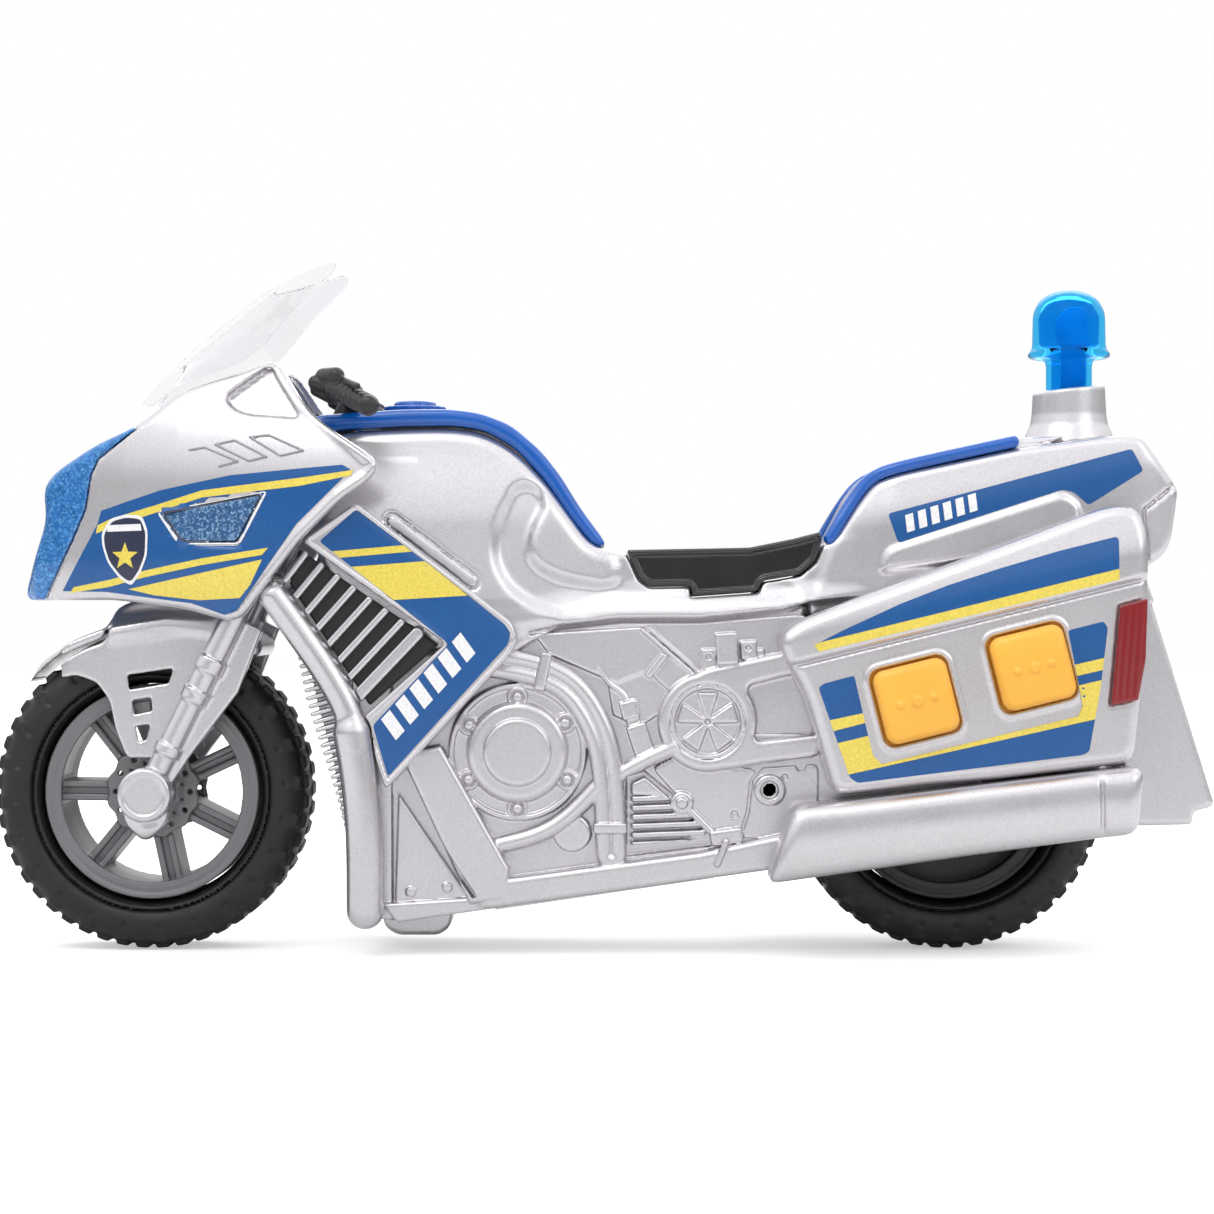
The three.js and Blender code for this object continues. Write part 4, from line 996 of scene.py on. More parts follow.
def button(which):
    x, _, z = BUTTONS[which]
    s = Space((x - 11.6, -BUTTON_OUT - 0.5, z - 11.6), (x + 11.6, -27, z + 11.6), 0.33)
    u, w = s.turned(x, z, BUTTON_TILT)
    crown = BUTTON_OUT - 0.5 - 0.012 * (u * u + w * w)
    cap = meet(s.bar(x, z, BUTTON, BUTTON, BUTTON_TILT, 2.6), np.maximum(s.out - crown, 30.4 - s.out), 1.5)
    flange = meet(s.bar(x, z, BUTTON + 2.6, BUTTON + 2.6, BUTTON_TILT, 1.4), np.abs(s.out - 30.8) - 0.5, 0.2)
    plunger = np.maximum(s.disc(x, z, 2.4), np.abs(s.out - 29) - 1.6)
    whole = np.minimum(np.minimum(cap, flange), plunger)
    for k, size in ((-1, 1.0), (0, 1.35), (1, 1.0)):
        bump = np.sqrt((u - 3.9 * k) ** 2 + w**2 + (s.out - crown + 0.35) ** 2) - size
        whole = blend(whole, bump, 0.15)
    return surface(s, np.maximum(whole, s.out - BUTTON_OUT))


def reflector():
    s = Space((111, -BAG_OUT - 0.8, 55), (122, -BAG_OUT + 1.8, 82), 0.3)
    ribs = 0.05 * np.cos((s.x - 0.08 * s.z) * 4)
    plate = meet(s.side(REFLECTOR), s.out - BAG_OUT - 0.3 - ribs, 0.3)
    return surface(s, np.maximum(plate, BAG_OUT - 1.0 - s.out))


def rear_lamp():
    """A ribbed lamp in its pocket at the rear of the tail."""
    s = Space((123.6, -LAMP_HALF - 0.4, 90.4), (131, LAMP_HALF + 0.4, 104.6), 0.36)
    lamp = meet(s.side(rounded(LAMP, 0.5)), s.out - LAMP_HALF, 0.4)
    ribs = np.abs((s.y + 1.5) % 3 - 1.5) - 0.3
    back = polyline([(129.9, 104), (128.4, 94), (126.6, 91)], s.x, s.z) - 0.4
    return surface(s, carve(lamp, np.maximum(ribs, back), 0.2))


# ------------------------------------------------------------ silencers, tubes and panels


def silencer():
    s = Space((34.5, -38.6, 15.5), (122, -21, 45), 0.5)
    side = [(36, 17), (42, 34.4), (54.3, 35.5), (109.4, 42.2), (119.6, 43.3), (118.2, 28.1), (109.4, 27.2)]
    tilt = np.interp(s.x, [36, 110], [0, 9]).astype(np.float32)
    swell = 1 - ((s.z - 26.4 - tilt) / 13) ** 2
    half = 34.6 + 3.2 * np.clip(swell, -1, 1)
    can = meet(s.side(rounded(side, 3)), np.maximum(s.out - half, 21.4 - s.out), 3.0)
    groove = np.maximum(s.line([(109.8, 44), (110.2, 26)]) - 0.4, half - 0.8 - s.out)
    groove2 = np.maximum(s.line([(41.6, 36), (37.4, 16)]) - 0.3, half - 0.6 - s.out)
    can = carve(carve(can, groove, 0.5), groove2, 0.3)
    outlet = np.maximum(np.hypot(s.y + 30.5, s.z - 35) - 4, 112 - s.x)
    return surface(s, np.maximum(can, -outlet))


TUBE_UPPER = [(-74, 80.9), (-66.9, 71.2), (-61.4, 63), (-57.2, 55.4), (-55.5, 47)]
TUBE_LOWER = [(-56.4, 50), (-55.0, 42), (-54.0, 34), (-53.4, 24), (-53.4, 10.4)]


def tube_distance(s, extra=0.0, y=25.4):
    upper = np.hypot(s.line(curved(TUBE_UPPER)), s.out - y) - 3.3 - extra
    lower = np.hypot(s.line(curved(TUBE_LOWER)), s.out - y) - 4.2 - extra
    return blend(upper, lower, 1.2)


def crash_tube():
    s = Space((-79, -30, 4), (-48, -20.6, 86), 0.42)
    return surface(s, tube_distance(s))


PANEL = [
    (-67.8, 93.3), (-55.5, 101.8), (-20.4, 74.9), (-19.1, 70.9), (-20.9, 67.6), (-48.8, 37.4),
    (-54, 53.5), (-35.4, 70.3),
]


def side_panel():
    s = Space((-69, -PANEL_OUT - 0.2, 36), (-18, -PANEL_IN + 0.1, 103), 0.42)
    flat = s.side(rounded(PANEL, 1.4))
    plate = meet(flat, s.out - PANEL_OUT, 0.8)
    face = np.maximum(flat + 1.0, PANEL_OUT - 0.4 - s.out)
    plate = np.maximum(carve(plate, face, 0.3), PANEL_IN - s.out)
    return surface(s, np.maximum(plate, -tube_distance(s, 0.35)))


def grille_plate():
    s = Space((-72, -25.6, 54), (-35, -PANEL_IN + 0.1, 93), 0.4)
    plate = meet(s.side([(-70.6, 83.6), (-68.4, 91.4), (-37, 69.9), (-52.6, 56.2)]), s.out - 23.4, 0.3)
    return surface(s, np.maximum(np.maximum(plate, PANEL_IN - s.out), -tube_distance(s, 0.35)))


def grille_bars():
    s = Space((-74, -25.4, 52), (-35, -23.3, 94), 0.3)
    whole = None
    for k in range(8):
        t = k / 7
        top = (-67.0 + 25.2 * t, 90.2 - 17.8 * t)
        low = (-71.3 + 16.2 * t, 84.6 - 26.2 * t)
        width = 0.8 if k < 7 else 1.4
        bar = s.raised(s.line([low, top]) - width, 25.2, 0.5, 23.5)
        whole = bar if whole is None else np.minimum(whole, bar)
    return surface(s, np.maximum(whole, -tube_distance(s, 0.35)))


def radiator():
    s = Space((-72, -19.4, 24), (-56.9, 19.4, 75), 0.36)
    core = [(-67.2, 67), (-64.8, 56), (-61.4, 44), (-59.2, 30), (-57.2, 28), (-57.2, 72), (-65, 74)]
    front = curved([(-69.4, 67.5), (-67.6, 57.5), (-64.6, 48), (-61, 37), (-58.8, 28)])
    whole = np.maximum(s.side(core), s.out - 16)
    length = np.concatenate([[0], np.cumsum(np.hypot(*np.diff(front, axis=0).T))])
    for k in range(22):
        at = (k + 0.4) / 22 * length[-1]
        x, z = np.interp(at, length, front[:, 0]), np.interp(at, length, front[:, 1])
        tooth = s.line([(x + 0.6, z), (x + 7, z + 1.8)]) - 0.5
        whole = np.minimum(whole, meet(tooth, s.out - 18.6, 0.3))
    return surface(s, np.maximum(whole, s.x + 57.3))


def underside_foot():
    s = Space((-53, -9, 2.4), (-32.6, 9, 12), 0.45)
    side = [(-51.4, 11), (-50.4, 4.8), (-47.4, 2.9), (-37.8, 2.9), (-35.2, 4.8), (-34, 12)]
    foot = meet(s.side(rounded(side, 1.5)), s.out - 8, 1)
    foot = np.maximum(foot, 2.95 - s.z)
    return surface(s, np.maximum(foot, -(s.side(rounded(CORE, 2)) - 0.2)))


def rear_mudguard():
    s = Space((115.6, -12.6, 27.4), (140.6, 12.6, 88.4), 0.5)
    plate = [
        (119, 83), (119.4, 80.6), (125, 80.6), (139.7, 33.6), (139.1, 32.6), (135.2, 31.6), (134.6, 28.6),
        (123, 28.3), (119.7, 29), (118.4, 38),
    ]
    outer = meet(s.side(rounded(plate, 0.8)), s.out - 12, 1.0)
    inside = [(116, 42), (121.4, 31.4), (137, 34.8), (123.6, 79), (116, 79)]
    inner = np.maximum(s.side(inside), s.out - 10.4)
    top = np.maximum(s.side([(118, 79.4), (126, 79.4), (123.2, 87.3), (117, 80.8)]), s.out - 12)
    whole = np.minimum(np.maximum(outer, -inner), top)
    whole = np.maximum(whole, -(s.side(rounded(TAIL, 2.4)) - 0.25))
    wheel = np.maximum(s.disc(REAR[0], REAR[2], WHEEL_R + 2.6), s.out - 15)
    return surface(s, np.maximum(whole, -wheel))


# ------------------------------------------------------------ wheels


def tyre(centre):
    x, _, z = centre
    reach = WHEEL_R + 0.5
    s = Space((x - reach, -TYRE_HALF - 0.3, z - reach), (x + reach, TYRE_HALF + 0.3, z + reach), 0.5)
    r = np.hypot(s.x - x, s.z - z)
    turn = np.arctan2(s.z - z, s.x - x)
    section = soft([
        (RIM_R + 0.15, -9.4), (WHEEL_R - 7.6, -TYRE_HALF + 0.2), (WHEEL_R - 3.4, -TYRE_HALF + 0.8),
        (WHEEL_R - 0.8, -9), (WHEEL_R - 0.5, 0), (WHEEL_R - 0.8, 9), (WHEEL_R - 3.4, TYRE_HALF - 0.8),
        (WHEEL_R - 7.6, TYRE_HALF - 0.2), (RIM_R + 0.15, 9.4),
    ], 2)
    body = polygon(section, r, s.y)
    pitch = 2 * math.pi / 48
    along_tread = np.abs((turn / pitch + 0.5 * (s.y > 0) + 1000) % 1 - 0.5) * pitch * WHEEL_R
    block = np.maximum(along_tread - 1.6, np.abs(s.out - 5.2) - 3.9)
    side_pitch = 2 * math.pi / 24
    along_side = np.abs((turn / side_pitch + 1000.25) % 1 - 0.5) * side_pitch * WHEEL_R
    shoulder = np.maximum(along_side - 1.6, np.abs(s.out - 10.6) - 1.0)
    knob = meet(block, r - WHEEL_R + 0.1, 0.4)
    lug = meet(shoulder, r - WHEEL_R + 1.6, 0.5)
    dimple = np.hypot(np.hypot(along_side, r - WHEEL_R + 5.0), s.out - TYRE_HALF + 0.2) - 0.95
    whole = blend(body, np.maximum(np.minimum(knob, lug), WHEEL_R - 5 - r), 0.6)
    whole = carve(whole, dimple, 0.4)
    bead = np.abs(r - RIM_R - 2.6) - 0.25
    whole = carve(whole, np.maximum(bead, 9.8 - s.out), 0.4)
    return surface(s, np.maximum(whole, RIM_R + 0.15 - r))


def rim(centre, first, closed):
    x, _, z = centre
    reach = RIM_R + 0.6
    s = Space((x - reach, -13.2, z - reach), (x + reach, 13.2, z + reach), 0.42)
    r = np.hypot(s.x - x, s.z - z)
    turn = np.arctan2(s.z - z, s.x - x)
    seat_r = RIM_R - 0.1
    ring = polygon([
        (20.6, -10.2), (seat_r, -10.2), (seat_r, 10.2), (20.6, 10.2), (21.6, 6), (21.6, -6),
    ], r, s.y)
    ring = carve(ring, np.hypot(r - 22.9, s.out - 10.4) - 0.55, 0.3)
    hub = meet(r - 5.4, s.out - 12.6, 0.6)
    disc = meet(r - 10.4 + 0.35 * np.cos(turn * 12), np.abs(s.out - 8.2) - 0.8, 0.3)
    for k in range(12):
        a = math.radians(30 * k)
        for radius, size in ((8.4, 0.6), (6.7, 0.45)):
            b = a + (0.26 if radius < 8 else 0)
            hole = np.hypot(s.x - x - radius * math.cos(b), s.z - z - radius * math.sin(b)) - size
            disc = np.maximum(disc, -hole)
    core = np.maximum(r - 6.4, s.out - 8)
    spokes = None
    for k in range(7):
        a = first + 2 * math.pi * k / 7
        u, w = s.turned(x, z, a)
        w = np.abs(w)
        bar = meet(np.maximum(w - 2.3, 4 - u), s.out - 7.4, 0.4)
        bar = carve(bar, np.maximum(w - 0.75, 6.0 - s.out), 0.4)
        bar = np.maximum(bar, u - 21.5)
        spokes = bar if spokes is None else np.minimum(spokes, bar)
    # On the rear wheel the spokes are filled in as a solid disc. With the black rim finish, this dark sheet
    # is painted shade for the shadow inside the tyre.
    if closed:
        spokes = np.maximum(r - 22, np.abs(s.y) - 5)
    whole = blend(np.minimum(ring, np.minimum(hub, disc)), np.minimum(spokes, core), 1.0)
    return surface(s, np.maximum(whole, 1.8 - r))


# ------------------------------------------------------------ fork, fender and handlebar

LEG_MID = 18.9


def fork_leg():
    s = Space((-112, -23.2, 25.4), (-76, -15.2, 84), 0.4)
    up, off = steering(s)
    r = np.hypot(off, s.y + LEG_MID)
    collar = (np.abs(up - 11.3) < 1.3) | (np.abs(up - 25) < 1.5) | (np.abs(up - 32.7) < 1.7)
    radius = 2.75 + 0.25 * (up > 26) + 0.55 * collar
    bar = np.maximum(r - radius, np.maximum(-up, up - 51))
    reach = np.interp(up, [4, 12, 30, 44], [4, 5, 8.4, 7]).astype(np.float32)
    fin = np.maximum(np.maximum(off - reach, 1 - off), np.maximum(4 - up, up - 45))
    fin = meet(fin, np.abs(s.out - 18.1) - 1.3, 0.4)
    lug_side = [
        (-108.6, 37), (-108, 29.4), (-105.2, 27.2), (-100.5, 27.4), (-98.2, 31), (-98.2, 38), (-103, 42),
    ]
    lug = meet(s.side(rounded(lug_side, 2.4)), np.abs(s.out - 18.1) - 2.5, 0.6)
    nub = s.capsule((-106.6, -18.6, 33), (-103.6, -18.6, 28.2), 2.5)
    cap = meet(s.disc(FRONT[0], WHEEL_R, 6.1), np.maximum(s.out - 22.9, 15.6 - s.out), 1.0)
    cap = carve(cap, np.maximum(s.disc(FRONT[0], WHEEL_R, 4.6), 22.6 - s.out), 0.3)
    whole = blend(blend(bar, fin, 0.8), np.minimum(blend(lug, nub, 1.5), cap), 0.6)
    bore = np.maximum(s.disc(FRONT[0], WHEEL_R, 1.8), s.out - 20)
    return surface(s, np.maximum(whole, -bore))


def front_fender():
    s = Space((-134, -15.9, 42), (-76, 15.9, 81.4), 0.45)
    crown_top = [
        (-132.8, 60), (-128.6, 66.2), (-120.6, 70.8), (-113.8, 73.4), (-100, 76), (-86, 75.4), (-77.4, 70.6),
        (-78.6, 66.4), (-90, 71), (-100, 72.6), (-112, 71), (-124, 64), (-131.4, 59),
    ]
    web = [
        (-132.8, 60), (-128.6, 66.2), (-120.6, 70.8), (-113.8, 73.4), (-100, 76), (-88, 75.6), (-84, 72),
        (-86, 60), (-92, 50), (-100, 44), (-108.4, 44), (-111, 50.4), (-112.4, 57.2), (-115.4, 61.3),
        (-119.9, 62.9), (-125.6, 61.9),
    ]
    neck = [(-113.6, 70), (-112.4, 78), (-106, 80.6), (-90, 80.6), (-86, 74), (-100, 72)]
    taper = 5 * step_up((-118 - s.x) / 14)
    crown = meet(s.side(rounded(crown_top, 2.5)), s.out - 15.2 + taper, 2.2)
    side = meet(s.side(rounded(web, 1.2)), s.band(14.1, 15.3), 0.3)
    side = np.maximum(side, s.out - 15.3 + np.maximum(taper - 0.9, 0))
    rise = meet(s.side(rounded(neck, 2.5)), s.out - 9 - 4.5 * step_up((78 - s.z) / 6), 1.2)
    whole = blend(blend(crown, side, 1.2), rise, 3.0)
    well = np.maximum(s.disc(FRONT[0], WHEEL_R, WHEEL_R + 1.8), s.out - 13.9)
    up, off = steering(s)
    stem_room = np.maximum(np.hypot(off, s.y) - 7, np.maximum(46.2 - up, up - 70))
    whole = np.maximum(np.maximum(whole, -well), -stem_room)
    for points in (
        [(-108.3, 62.9), (-97.9, 64.4), (-99, 61.1), (-107.9, 59.6)],
        [(-107.2, 57.1), (-103.0, 57.8), (-102.7, 54.8), (-107, 53.9)],
        [(-106.5, 51.2), (-103.2, 51.7), (-104.1, 48.2), (-105.8, 47.7)],
    ):
        whole = np.maximum(whole, -np.maximum(s.side(points), 12 - s.out))
    ledge = s.line(curved([(-131.5, 60.8), (-124, 66.4), (-117.6, 69.6), (-113.4, 71), (-112.6, 75)])) - 0.3
    return surface(s, carve(whole, np.maximum(ledge, 11.5 - s.out), 1.2))


def steering_stem():
    s = Space((-84, -23, 76), (-56, 23, 122.6), 0.45)
    up, off = steering(s)
    yoke = meet(np.maximum(np.abs(off) - 4.4, np.abs(up - 54.2) - 2.8), s.out - 22.4, 0.8)
    stem = np.maximum(np.hypot(off, s.y) - 4, np.abs(up - 74.5) - 18.5)
    return surface(s, blend(yoke, stem, 1.0))


def handlebar():
    """The bar on its post, and on each side a grip, a lever over it and their mounts."""
    x, z = FRONT[0] + 101.4 * math.sin(RAKE), WHEEL_R + 101.4 * math.cos(RAKE)
    s = Space((x - 12, -39.4, z - 16), (x + 10, 39.4, z + 7), 0.36)
    up, off = steering(s)
    r = np.hypot(off, s.y)
    cup = meet(r - 6, np.abs(up - 91) - 4, 0.6)
    cup = np.maximum(cup, -np.maximum(r - 4.3, up - 93.3))
    post = np.maximum(r - 2.6, np.abs(up - 98) - 4.4)
    bar = np.maximum(np.hypot(s.x - x, s.z - z) - 2.2, s.out - 20)
    s.y = -s.out
    arm = s.capsule((x, -19, z), (x - 2, -24.4, z + 0.7), 2.3)
    ridges = 0.14 * np.cos(s.out * 3.4) * (s.out > 26)
    grip = s.capsule((x - 2.4, -23.6, z + 0.9), (x + 6.4, -36.4, z - 3.8), 2.35) + ridges
    mount = s.capsule((x - 6.6, -21.8, z + 2.2), (x - 0.6, -24, z + 0.6), 1.7)
    switch = s.capsule((x - 4.8, -21.6, z + 3.6), (x - 1.6, -26, z + 3.5), 1.9)
    lever = s.capsule((x - 1, -25, z + 3.0), (x + 4, -36.4, z + 0.4), 0.75)
    lower = s.capsule((x - 6.6, -21, z + 0.5), (x - 2.6, -22, z - 1.6), 1.3)
    ends = blend(blend(arm, grip, 0.6), blend(np.minimum(mount, switch), np.minimum(lever, lower), 0.4), 0.5)
    return surface(s, blend(np.minimum(np.minimum(cup, post), ends), bar, 0.5))


# ------------------------------------------------------------ stickers


def clipped(points, keep):
    """The part of an outline inside a convex outline."""
    area = sum(a[0] * b[1] - b[0] * a[1] for a, b in zip(keep, keep[1:] + keep[:1]))
    turn = 1 if area > 0 else -1
    out = [tuple(p) for p in points]
    for a, b in zip(keep, keep[1:] + keep[:1]):
        ex, ey = (b[0] - a[0]) * turn, (b[1] - a[1]) * turn
        before, out = out, []
        for p, q in zip(before, before[1:] + before[:1]):
            dp = ex * (p[1] - a[1]) - ey * (p[0] - a[0])
            dq = ex * (q[1] - a[1]) - ey * (q[0] - a[0])
            if dp >= 0:
                out.append(p)
            if (dp >= 0) != (dq >= 0):
                t = dp / (dp - dq)
                out.append((p[0] + t * (q[0] - p[0]), p[1] + t * (q[1] - p[1])))
    return out


def shrunk(points, share):
    p = np.array(points, float)
    middle = p.mean(0)
    return [tuple(q) for q in middle + (p - middle) * share]


def bars(start, end, height, count, share=0.62, lean=0.25):
    """A row of leaning blocks along a line, as a plain mark."""
    start, end = np.array(start, float), np.array(end, float)
    step = (end - start) / count
    up = np.array([-step[1], step[0]]) / np.linalg.norm(step) * height
    out = []
    for k in range(count):
        a = start + step * k
        b = a + step * share
        shift = step * lean
        out.append([tuple(a), tuple(b), tuple(b + up + shift), tuple(a + up + shift)])
    return out


def star(x, z, r):
    out = []
    for k in range(10):
        a = math.pi / 2 + k * math.pi / 5
        size = r if k % 2 == 0 else r * 0.42
        out.append((x + size * math.cos(a), z + size * math.sin(a)))
    return out


def flat_mesh(points, holes, spacing=1.1):
    """Triangles filling an outline, fine enough to follow a curved surface."""
    verts, edges = [], []
    for loop in [points] + holes:
        first = len(verts)
        ring = []
        for p, q in zip(loop, list(loop[1:]) + [loop[0]]):
            p, q = np.array(p, float), np.array(q, float)
            n = max(1, int(np.ceil(np.linalg.norm(q - p) / spacing)))
            ring += [p + (q - p) * k / n for k in range(n)]
        verts += ring
        edges += [(first + k, first + (k + 1) % len(ring)) for k in range(len(ring))]
    low, high = np.min(verts, 0), np.max(verts, 0)
    columns, rows = (np.arange(low[k], high[k], spacing) for k in (0, 1))
    gx, gz = np.meshgrid(columns, rows, indexing="ij")
    gap = polygon(points, gx, gz)
    for hole in holes:
        gap = np.maximum(gap, -polygon(hole, gx, gz))
    fill = gap < -0.5 * spacing
    verts += list(np.stack([gx[fill], gz[fill]], 1))
    made = delaunay_2d_cdt([Vector(v) for v in verts], edges, [], 0, 1e-5)
    flat = np.array([tuple(v) for v in made[0]])
    faces = np.array(made[2])
    centre = flat[faces].mean(1)
    inside = polygon(points, centre[:, 0], centre[:, 1]) < 0
    for hole in holes:
        inside &= polygon(hole, centre[:, 0], centre[:, 1]) > 0
    faces = faces[inside]
    used, faces = np.unique(faces, return_inverse=True)
    return flat[used], faces.reshape(-1, 3)


def laid(mesh):
    """A finder of the left surface of a mesh, as a distance along Y."""
    points, faces, _ = mesh
    tree = BVHTree.FromPolygons(points.tolist(), faces.tolist())

    def find(x, z):
        hit = tree.ray_cast(Vector((x, -80, z)), Vector((0, 1, 0)))
        return hit[0].y if hit[0] is not None else None

    return find


def sticker(name, find, regions, body="body"):
    """Thin printed sheets on a surface. Each region is an outline, a material, a height and its holes."""
    all_points, all_faces, all_normals, kinds = [], [], [], []
    materials = []
    start = 0
    for outline, material, lift, holes in regions:
        if material not in materials:
            materials.append(material)
        flat, faces = flat_mesh(outline, holes)
        y = [find(x, z) for x, z in flat]
        known = [v for v in y if v is not None]
        if not known:
            continue
        spare = float(np.median(known))
        y = np.array([spare if v is None else v for v in y])
        turn = np.cross(flat[faces[:, 1]] - flat[faces[:, 0]], flat[faces[:, 2]] - flat[faces[:, 0]])
        faces = np.where((turn > 0)[:, None], faces, faces[:, ::-1])
        front = np.stack([flat[:, 0], y - lift, flat[:, 1]], 1)
        back = np.stack([flat[:, 0], y + 0.25, flat[:, 1]], 1)
        face_n = np.cross(front[faces[:, 1]] - front[faces[:, 0]], front[faces[:, 2]] - front[faces[:, 0]])
        normal = np.zeros_like(front)
        for k in range(3):
            np.add.at(normal, faces[:, k], face_n)
        normal /= np.maximum(np.linalg.norm(normal, axis=1), 1e-9)[:, None]
        sides = np.vstack([faces[:, [0, 1]], faces[:, [1, 2]], faces[:, [2, 0]]])
        pairs = {(a, b) for a, b in sides.tolist()}
        rim = np.array([(a, b) for a, b in sides.tolist() if (b, a) not in pairs])
        n = len(front)
        walls = np.vstack([
            np.stack([rim[:, 1], rim[:, 0], rim[:, 0] + n], 1),
            np.stack([rim[:, 1], rim[:, 0] + n, rim[:, 1] + n], 1),
        ])
        shape = np.vstack([faces, faces[:, ::-1] + n, walls])
        all_points += [front, back]
        all_normals += [normal, -normal]
        all_faces.append(shape + start)
        kinds += [materials.index(material)] * len(shape)
        start += 2 * n
    mesh = (np.vstack(all_points), np.vstack(all_faces), np.vstack(all_normals))
    for side, shape in (("left", mesh), ("right", mirrored(mesh))):
        thing = build(f"{name}_{side}", shape, materials[0], body)
        for extra in materials[1:]:
            thing.data.materials.append(extra)
        if len(thing.data.polygons) == len(kinds):
            thing.data.polygons.foreach_set("material_index", kinds)


BASE, TOP, MARK = 0.12, 0.19, 0.26

FAIRING_STICKER = [
    (-113.7, 100.2), (-99.6, 104.6), (-83.4, 107.8), (-67.5, 109.2), (-58, 110.0), (-56.2, 109.0),
    (-58.4, 106.5), (-68.3, 96.8), (-78.6, 82.3), (-82, 77.6), (-84.8, 76.6), (-92.4, 79.2),
    (-112.6, 81.8), (-123.4, 82.0), (-114.6, 97.2),
]
BADGE = [
    (-111.4, 98.4), (-107.6, 99.3), (-103.8, 98.9), (-102.5, 95.5), (-102.7, 90), (-104.3, 86),
    (-106.5, 83.1), (-109.2, 84.8), (-112.1, 88.4), (-113.4, 92.2), (-113.6, 95.1),
]


def fairing_sticker(find):
    frame_line = shrunk(SIDE_WINDOW, 1.13)
    hole = rounded(shrunk(SIDE_WINDOW, 1.03), 1.6)
    thin_top = [
        (-115, 95.0), (-111.4, 96.4), (-100.9, 99.5), (-89.8, 102.9), (-67.5, 105.3), (-56, 107.6),
        (-55.5, 108.8), (-67.5, 107.1), (-89.8, 104.5), (-100.9, 101.2), (-111.4, 98.3), (-114.6, 96.9),
    ]
    thin_low = [
        (-121.5, 81.6), (-112, 82.9), (-103.2, 85.1), (-89.8, 87.8), (-76, 90), (-74.6, 91.6),
        (-89.8, 89.3), (-103.2, 86.6), (-112, 84.5), (-120.6, 82.9),
    ]
    wide = [(-107.2, 82.4), (-76, 89), (-78.8, 83.3), (-81.2, 80.4), (-90.7, 79.9), (-100.9, 81.0)]
    return sticker("fairing_sticker", find, [
        (FAIRING_STICKER, STICKER_BLUE, BASE, [hole]),
        (thin_top, STICKER_YELLOW, TOP, []),
        (thin_low, STICKER_YELLOW, TOP, []),
        (wide, STICKER_YELLOW, TOP, []),
        (rounded(frame_line, 1.2), STICKER_WHITE, TOP, [shrunk(SIDE_WINDOW, 1.07)]),
        (rounded(BADGE, 1), STICKER_WHITE, 0.26, []),
        (rounded(shrunk(BADGE, 0.9), 1), STICKER_DARK, 0.32, []),
        (star(-107.9, 89.8, 3.2), STICKER_YELLOW, 0.38, []),
        ([(-112.2, 95.4), (-112.0, 96.9), (-104.2, 97.1), (-103.9, 95.6)], STICKER_WHITE, 0.38, []),
    ])


PANEL_STICKER = [
    (-55.4, 100.2), (-63.6, 93.1), (-47.2, 80.2), (-34.6, 70.1), (-51.6, 51.9), (-48.2, 40.4),
    (-21.4, 70.0), (-20.8, 72.4), (-22.0, 74.4), (-30, 80.7), (-38.7, 87.7),
]


def panel_sticker(find):
    marks = bars((-46.4, 48.6), (-27.4, 69.4), 5.6, 6)
    thin = [(-66, 90.4), (-36, 93.0), (-36, 91.4), (-66, 88.8)]
    wide = [(-60, 87.1), (-28, 89.6), (-28, 81.1), (-60, 79.2)]
    return sticker("panel_sticker", find, [
        (rounded(PANEL_STICKER), STICKER_BLUE, BASE, []),
        (clipped(PANEL_STICKER, thin), STICKER_YELLOW, TOP, []),
        (clipped(PANEL_STICKER, wide), STICKER_YELLOW, TOP, []),
    ] + [(m, STICKER_WHITE, MARK, []) for m in marks])


def tail_sticker(find):
    outline = [
        (64.3, 99.5), (66.6, 92.9), (103.6, 104.9), (106.2, 104.4), (109.6, 101.4), (122, 109.2),
        (119.5, 114.2),
    ]
    marks = bars((68.6, 95.2), (85.6, 100.6), 3.9, 6)
    return sticker("tail_sticker", find, [(rounded(outline), STICKER_BLUE, BASE, [])]
                   + [(m, STICKER_WHITE, MARK, []) for m in marks])


def pannier_stickers(find):
    upper = [
        (46.6, 69.9), (53, 73.2), (66, 79.2), (76.3, 83.2), (88, 87), (100.9, 90.8), (113.6, 94.0),
        (114.2, 93.4), (114.2, 84.4), (47.8, 68.5),
    ]
    band = [(44, 69.6), (116, 87.3), (116, 83.4), (44, 66.4)]
    lower = [
        (47.7, 60.5), (48.8, 61.4), (55.6, 63.2), (58.6, 50.2), (59.8, 45.4), (61.8, 43.6), (105.2, 54.2),
        (106.2, 56.4), (103, 73.2), (110.9, 75.2), (111.8, 73.8), (110.2, 60.6), (107.7, 46.4),
        (106.3, 45.6), (56.4, 39.4), (54.6, 40.6),
    ]
    thin_left = [(46, 52.4), (60, 55.4), (60, 53.2), (46, 49.6)]
    thin_right = [(100, 64.6), (114, 67.8), (114, 65.2), (100, 62)]
    wide = [(46, 46.8), (112, 62.6), (112, 54.2), (46, 39.4)]
    return sticker("pannier_sticker", find, [
        (rounded(upper, 0.5), STICKER_BLUE, BASE, []),
        (clipped(upper, band), STICKER_YELLOW, TOP, []),
        (rounded(lower, 0.6), STICKER_BLUE, BASE, []),
        (clipped(lower, thin_left), STICKER_YELLOW, TOP, []),
        (clipped(lower, thin_right), STICKER_YELLOW, TOP, []),
        (clipped(lower, wide), STICKER_YELLOW, TOP, []),
    ])


# ------------------------------------------------------------ putting the bike together

